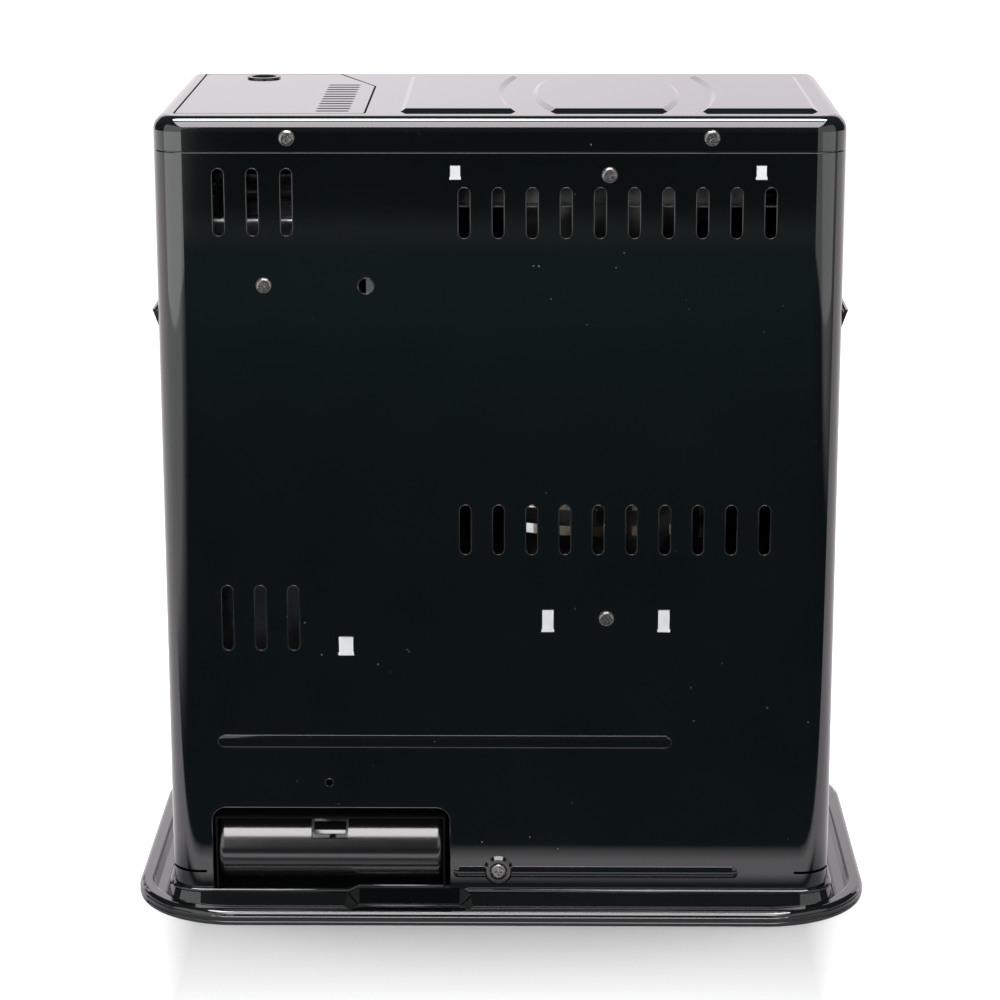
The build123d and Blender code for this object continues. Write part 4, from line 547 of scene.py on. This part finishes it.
# Reflector, shield, guard wires and bail: bright rolled or drawn steel, with fine lines along
# the way it was rolled. The reflector and shield are painted darker and rougher on faces turned
# to the back, a painted shade.
def bright_steel(name, shaded_back):
    material, wire, place = new_paint(name)
    stretch = wire.make("Mapping", None, {"Vector": place, "Scale": (60.0, 60.0, 2500.0)})
    lines = wire.make("TexNoise", None, {"Vector": stretch, "Scale": 1.0, "Detail": 3.0})
    cloud = wire.make("TexNoise", None, {"Vector": place, "Scale": 25.0, "Detail": 4.0})
    facing = wire.make("NewGeometry", out=1)
    # Painted shade: faces turned towards the back get the dark colour and more roughness.
    outer = facing.split()[1].step(-0.1, 0.1) * shaded_back
    bright = cloud.step(0.3, 0.7).blend((0.62, 0.61, 0.59, 1), (0.78, 0.77, 0.75, 1))
    dark = cloud.step(0.42, 0.6).blend((0.07, 0.07, 0.07, 1), (0.34, 0.34, 0.33, 1))
    color = outer.blend(bright, dark)
    roughness = lines * 0.10 + cloud * 0.08 + 0.06 + outer * 0.22
    bump = wire.make("Bump", None, {"Strength": 0.2, "Distance": 0.00002, "Height": lines})
    shader = wire.make("BsdfPrincipled", None, {
        "Base Color": color, "Roughness": roughness, "Metallic": 1.0, "Normal": bump})
    close_paint(wire, shader)
    return material


polished = bright_steel("bright_steel", 0.0)
dress(polished, "front_guard", "tank_bail", "battery_contacts", "chimney_knob")
rolled = bright_steel("rolled_steel", 1.0)
dress(rolled, "reflector", "top_shield")


# Baffles: the reflector's two outer pairs of air slits are closed from behind by strips of the
# same sheet, bent to its curve and spot welded. Their faces turned to the back carry the rolled
# steel's painted shade, so the outer slots show dark.
reflector_c = (-0.064, -0.04207)
reflector_r = 0.12412
baffle_t = 0.0005
baffle_z = (0.226, 0.256)
baffle_turns = ((39, 62.5), (117.5, 141))
baffle_steps = 12


def reflector_baffles(material):
    """The two bent strips."""
    bm = bmesh.new()
    r0, r1 = reflector_r, reflector_r + baffle_t
    z0, z1 = baffle_z
    for start, end in baffle_turns:
        rows = []
        for i in range(baffle_steps + 1):
            a = math.radians(start + (end - start) * i / baffle_steps)
            rows.append([bm.verts.new((reflector_c[0] + r * math.cos(a),
                                       reflector_c[1] + r * math.sin(a), z))
                         for r, z in ((r0, z0), (r1, z0), (r1, z1), (r0, z1))])
        for first, second in zip(rows, rows[1:]):
            for k in range(4):
                bm.faces.new((first[k], second[k], second[(k + 1) % 4], first[(k + 1) % 4]))
        bm.faces.new(rows[0])
        bm.faces.new(rows[-1])
    finish_piece(bm, "reflector_baffles", "cabinet", "bright_steel", material)


reflector_baffles(rolled)


# Screws and the knob's spindle: round headed machine screws in dark nickel.
def dark_nickel():
    material, wire, place = new_paint("screw_steel")
    wear = wire.make("TexNoise", None, {"Vector": place, "Scale": 700.0, "Detail": 3.0})
    color = wear.step(0.35, 0.65).blend((0.16, 0.155, 0.15, 1), (0.42, 0.41, 0.40, 1))
    roughness = wear * 0.2 + 0.12
    shader = wire.make("BsdfPrincipled", None, {
        "Base Color": color, "Roughness": roughness, "Metallic": 0.8})
    close_paint(wire, shader)
    return material


nickel = dark_nickel()
dress(nickel, "screws", "wick_shaft")


# Battery case, grips, knob and fascia: satin black moulded plastic, with the mould's fine grain
# and faint draw lines.
def satin_plastic(name, low, high, ior, coat_rough, coat_ior):
    material, wire, place = new_paint(name)
    grain = wire.make("TexNoise", None, {"Vector": place, "Scale": 1500.0, "Detail": 2.0})
    stretch = wire.make("Mapping", None, {"Vector": place, "Scale": (420.0, 12.0, 12.0)})
    draw = wire.make("TexNoise", None, {"Vector": stretch, "Scale": 1.0, "Detail": 3.0})
    cloud = wire.make("TexNoise", None, {"Vector": place, "Scale": 40.0, "Detail": 3.0})
    color = cloud.step(0.3, 0.7).blend(low, high)
    roughness = draw.step(0.4, 0.6) * 0.05 + cloud * 0.08 + 0.26
    bump = wire.make("Bump", None, {
        "Strength": 0.25, "Distance": 0.00003, "Height": grain * 0.5 + draw * 0.5})
    shader = wire.make("BsdfPrincipled", None, {
        "Base Color": color, "Roughness": roughness, "IOR": ior, "Normal": bump,
        "Coat Weight": 1.0, "Coat Roughness": coat_rough, "Coat IOR": coat_ior})
    close_paint(wire, shader)
    return material


satin = satin_plastic("satin_black_plastic", (0.0085, 0.0080, 0.0085, 1),
                      (0.013, 0.0122, 0.0128, 1), 1.5, 0.16, 1.6)
glossy = satin_plastic("case_moulding", (0.0040, 0.0038, 0.0040, 1),
                       (0.0058, 0.0055, 0.0057, 1), 1.35, 0.17, 2.1)
dress(satin, "lid_grommet", "tank_cap", "bail_grip", "tank_receiver", "wick_knob",
      "control_fascia", "ignition_lever", "side_handles")
dress(glossy, "battery_case")


# Battery housing: the sleeve in the cabinet that the case slides into, in a coarse black painted
# near black past the other mouldings, a painted shade so that it stays dark behind the case.
def shade_black_moulding():
    material, wire, place = new_paint("painted_shade_black_moulding")
    grain = wire.make("TexNoise", None, {"Vector": place, "Scale": 2200.0, "Detail": 3.0})
    cloud = wire.make("TexNoise", None, {"Vector": place, "Scale": 55.0, "Detail": 3.0})
    color = cloud.step(0.3, 0.7).blend((0.0016, 0.0016, 0.0017, 1), (0.0026, 0.0025, 0.0026, 1))
    bump = wire.make("Bump", None, {"Strength": 0.5, "Distance": 0.00008, "Height": grain})
    shader = wire.make("BsdfPrincipled", None, {
        "Base Color": color, "Roughness": cloud * 0.1 + 0.75, "IOR": 1.25, "Normal": bump})
    close_paint(wire, shader)
    return material


painted_shade_black = shade_black_moulding()
dress(painted_shade_black, "battery_housing")


# Battery latch: a springy tongue moulded into the case's top. A thumb recess takes its upper
# half, and below it the tongue follows the case's round back. The recess is painted near black
# as painted shade.
case_y = 0.0972
case_z = 0.0381
case_r = 0.0218
tongue_x = (0.0947, 0.1142)
tongue_low = math.radians(33)
tongue_mid = math.radians(40)
tongue_high = math.radians(66)
tongue_t = 0.0012
recess = 0.0026
step_turn = math.radians(0.6)
floor_start = math.radians(2)
floor_turn = math.radians(2.7)
lip_turn = math.radians(3)
lip_sunk = 0.0002
tongue_round = 0.0003


def latch_tongue():
    """The tongue as one bent strip whose sunk upper half is painted near black, a painted shade.
    """
    bm = bmesh.new()
    profile = [(case_r, tongue_low + (tongue_mid - tongue_low) * i / 6) for i in range(7)]
    for i in range(1, 4):
        profile.append((case_r - recess * i / 3, tongue_mid + step_turn * i))
    for i in range(8):
        profile.append((case_r - recess, tongue_mid + floor_start + floor_turn * i))
    profile.append((case_r - lip_sunk, tongue_high))
    profile.append((case_r - lip_sunk, tongue_high + lip_turn))
    rows = []
    for depth in (0.0, tongue_t):
        for x in tongue_x:
            rows.append([bm.verts.new((x, case_y + (r - depth) * math.cos(a),
                                       case_z + (r - depth) * math.sin(a))) for r, a in profile])
    outer_a, outer_b, inner_a, inner_b = rows
    for i in range(len(profile) - 1):
        sunk = max(profile[i][0], profile[i + 1][0]) < case_r - recess * 0.99
        for first, second in ((outer_a, outer_b), (outer_b, inner_b), (inner_b, inner_a),
                              (inner_a, outer_a)):
            face = bm.faces.new((first[i], second[i], second[i + 1], first[i + 1]))
            face.material_index = int(sunk)
    bm.faces.new([row[0] for row in (outer_a, outer_b, inner_b, inner_a)])
    bm.faces.new([row[-1] for row in (outer_a, inner_a, inner_b, outer_b)])
    # Painted shade: faces in the recess take the near black second material.
    piece = finish_piece(bm, "latch_tongue", "latch", "satin_black_plastic", glossy, painted_shade_black)
    bevel = piece.modifiers.new("edge", "BEVEL")
    bevel.width = tongue_round
    bevel.segments = 2
    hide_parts("battery_latch")


latch_tongue()


# Chimney: stainless steel that has been hot, straw and blue towards the top.
def heat_steel():
    material, wire, place = new_paint("heat_steel")
    height = place.split()[2]
    cloud = wire.make("TexNoise", None, {"Vector": place, "Scale": 35.0, "Detail": 4.0})
    hot = (height + cloud * 0.03).step(0.19, 0.35)
    tint = hot.make("ValToRGB", {"stops": [
        (0.0, (0.46, 0.44, 0.42, 1)), (0.35, (0.42, 0.34, 0.22, 1)),
        (0.6, (0.30, 0.17, 0.16, 1)), (0.8, (0.13, 0.14, 0.24, 1)),
        (1.0, (0.20, 0.21, 0.22, 1))]}, {"Fac": hot})
    roughness = cloud * 0.2 + 0.25
    shader = wire.make("BsdfPrincipled", None, {
        "Base Color": tint, "Roughness": roughness, "Metallic": 1.0})
    close_paint(wire, shader)
    return material


heated = heat_steel()
dress(heated, "chimney_base", "outer_fire_tube", "inner_fire_tube", "chimney_crown",
      "chimney_cross_wires")


# Chimney glass and gauge window: clear drawn glass and clear moulded plastic.
def clear_pane(name, tint, rough, ior):
    material, wire, place = new_paint(name)
    smear = wire.make("TexNoise", None, {"Vector": place, "Scale": 60.0, "Detail": 4.0})
    roughness = smear.step(0.4, 0.8) * 0.06 + rough
    color = smear.step(0.3, 0.7).blend(tint, (0.97, 0.98, 0.98, 1))
    shader = wire.make("BsdfPrincipled", None, {
        "Base Color": color, "Roughness": roughness, "IOR": ior, "Transmission Weight": 1.0})
    close_paint(wire, shader)
    return material


dress(clear_pane("glass", (0.93, 0.96, 0.96, 1), 0.01, 1.47), "chimney_glass")
dress(clear_pane("clear_plastic", (0.90, 0.93, 0.93, 1), 0.03, 1.49), "gauge_window")


# Small inner pieces: woven wick, brass valve, red button and pointer, cast weight, cell jackets,
# ceramic and lead.
def small_finish(name, low, high, rough, metal, scale, depth):
    material, wire, place = new_paint(name)
    cloud = wire.make("TexNoise", None, {"Vector": place, "Scale": scale, "Detail": 4.0})
    mask = cloud.step(0.3, 0.7)
    bump = wire.make("Bump", None, {"Strength": 0.5, "Distance": depth, "Height": cloud})
    shader = wire.make("BsdfPrincipled", None, {
        "Base Color": mask.blend(low, high), "Roughness": rough + mask * 0.1,
        "Metallic": metal, "Normal": bump})
    close_paint(wire, shader)
    return material


dress(small_finish("wick_cloth", (0.62, 0.58, 0.50, 1), (0.82, 0.79, 0.72, 1), 0.85, 0.0, 900.0,
                   0.0002), "wick")
dress(small_finish("brass", (0.60, 0.42, 0.16, 1), (0.78, 0.60, 0.28, 1), 0.22, 1.0, 200.0,
                   0.00002), "cap_valve")
dress(small_finish("red_plastic", (0.38, 0.018, 0.014, 1), (0.48, 0.03, 0.02, 1), 0.24, 0.0,
                   300.0, 0.00002), "stop_button", "gauge_pointer")
dress(small_finish("cast_weight", (0.05, 0.05, 0.05, 1), (0.11, 0.11, 0.10, 1), 0.55, 0.6, 500.0,
                   0.0001), "tip_weight")
dress(small_finish("cell_jacket", (0.20, 0.20, 0.21, 1), (0.26, 0.26, 0.27, 1), 0.3, 0.3, 90.0,
                   0.00002), "battery_cells")
dress(small_finish("ceramic", (0.74, 0.72, 0.66, 1), (0.84, 0.82, 0.77, 1), 0.45, 0.0, 400.0,
                   0.00004), "igniter", "gauge_body")
dress(small_finish("lead_sheath", (0.012, 0.012, 0.012, 1), (0.03, 0.03, 0.03, 1), 0.5, 0.0,
                   600.0, 0.00005), "igniter_lead")
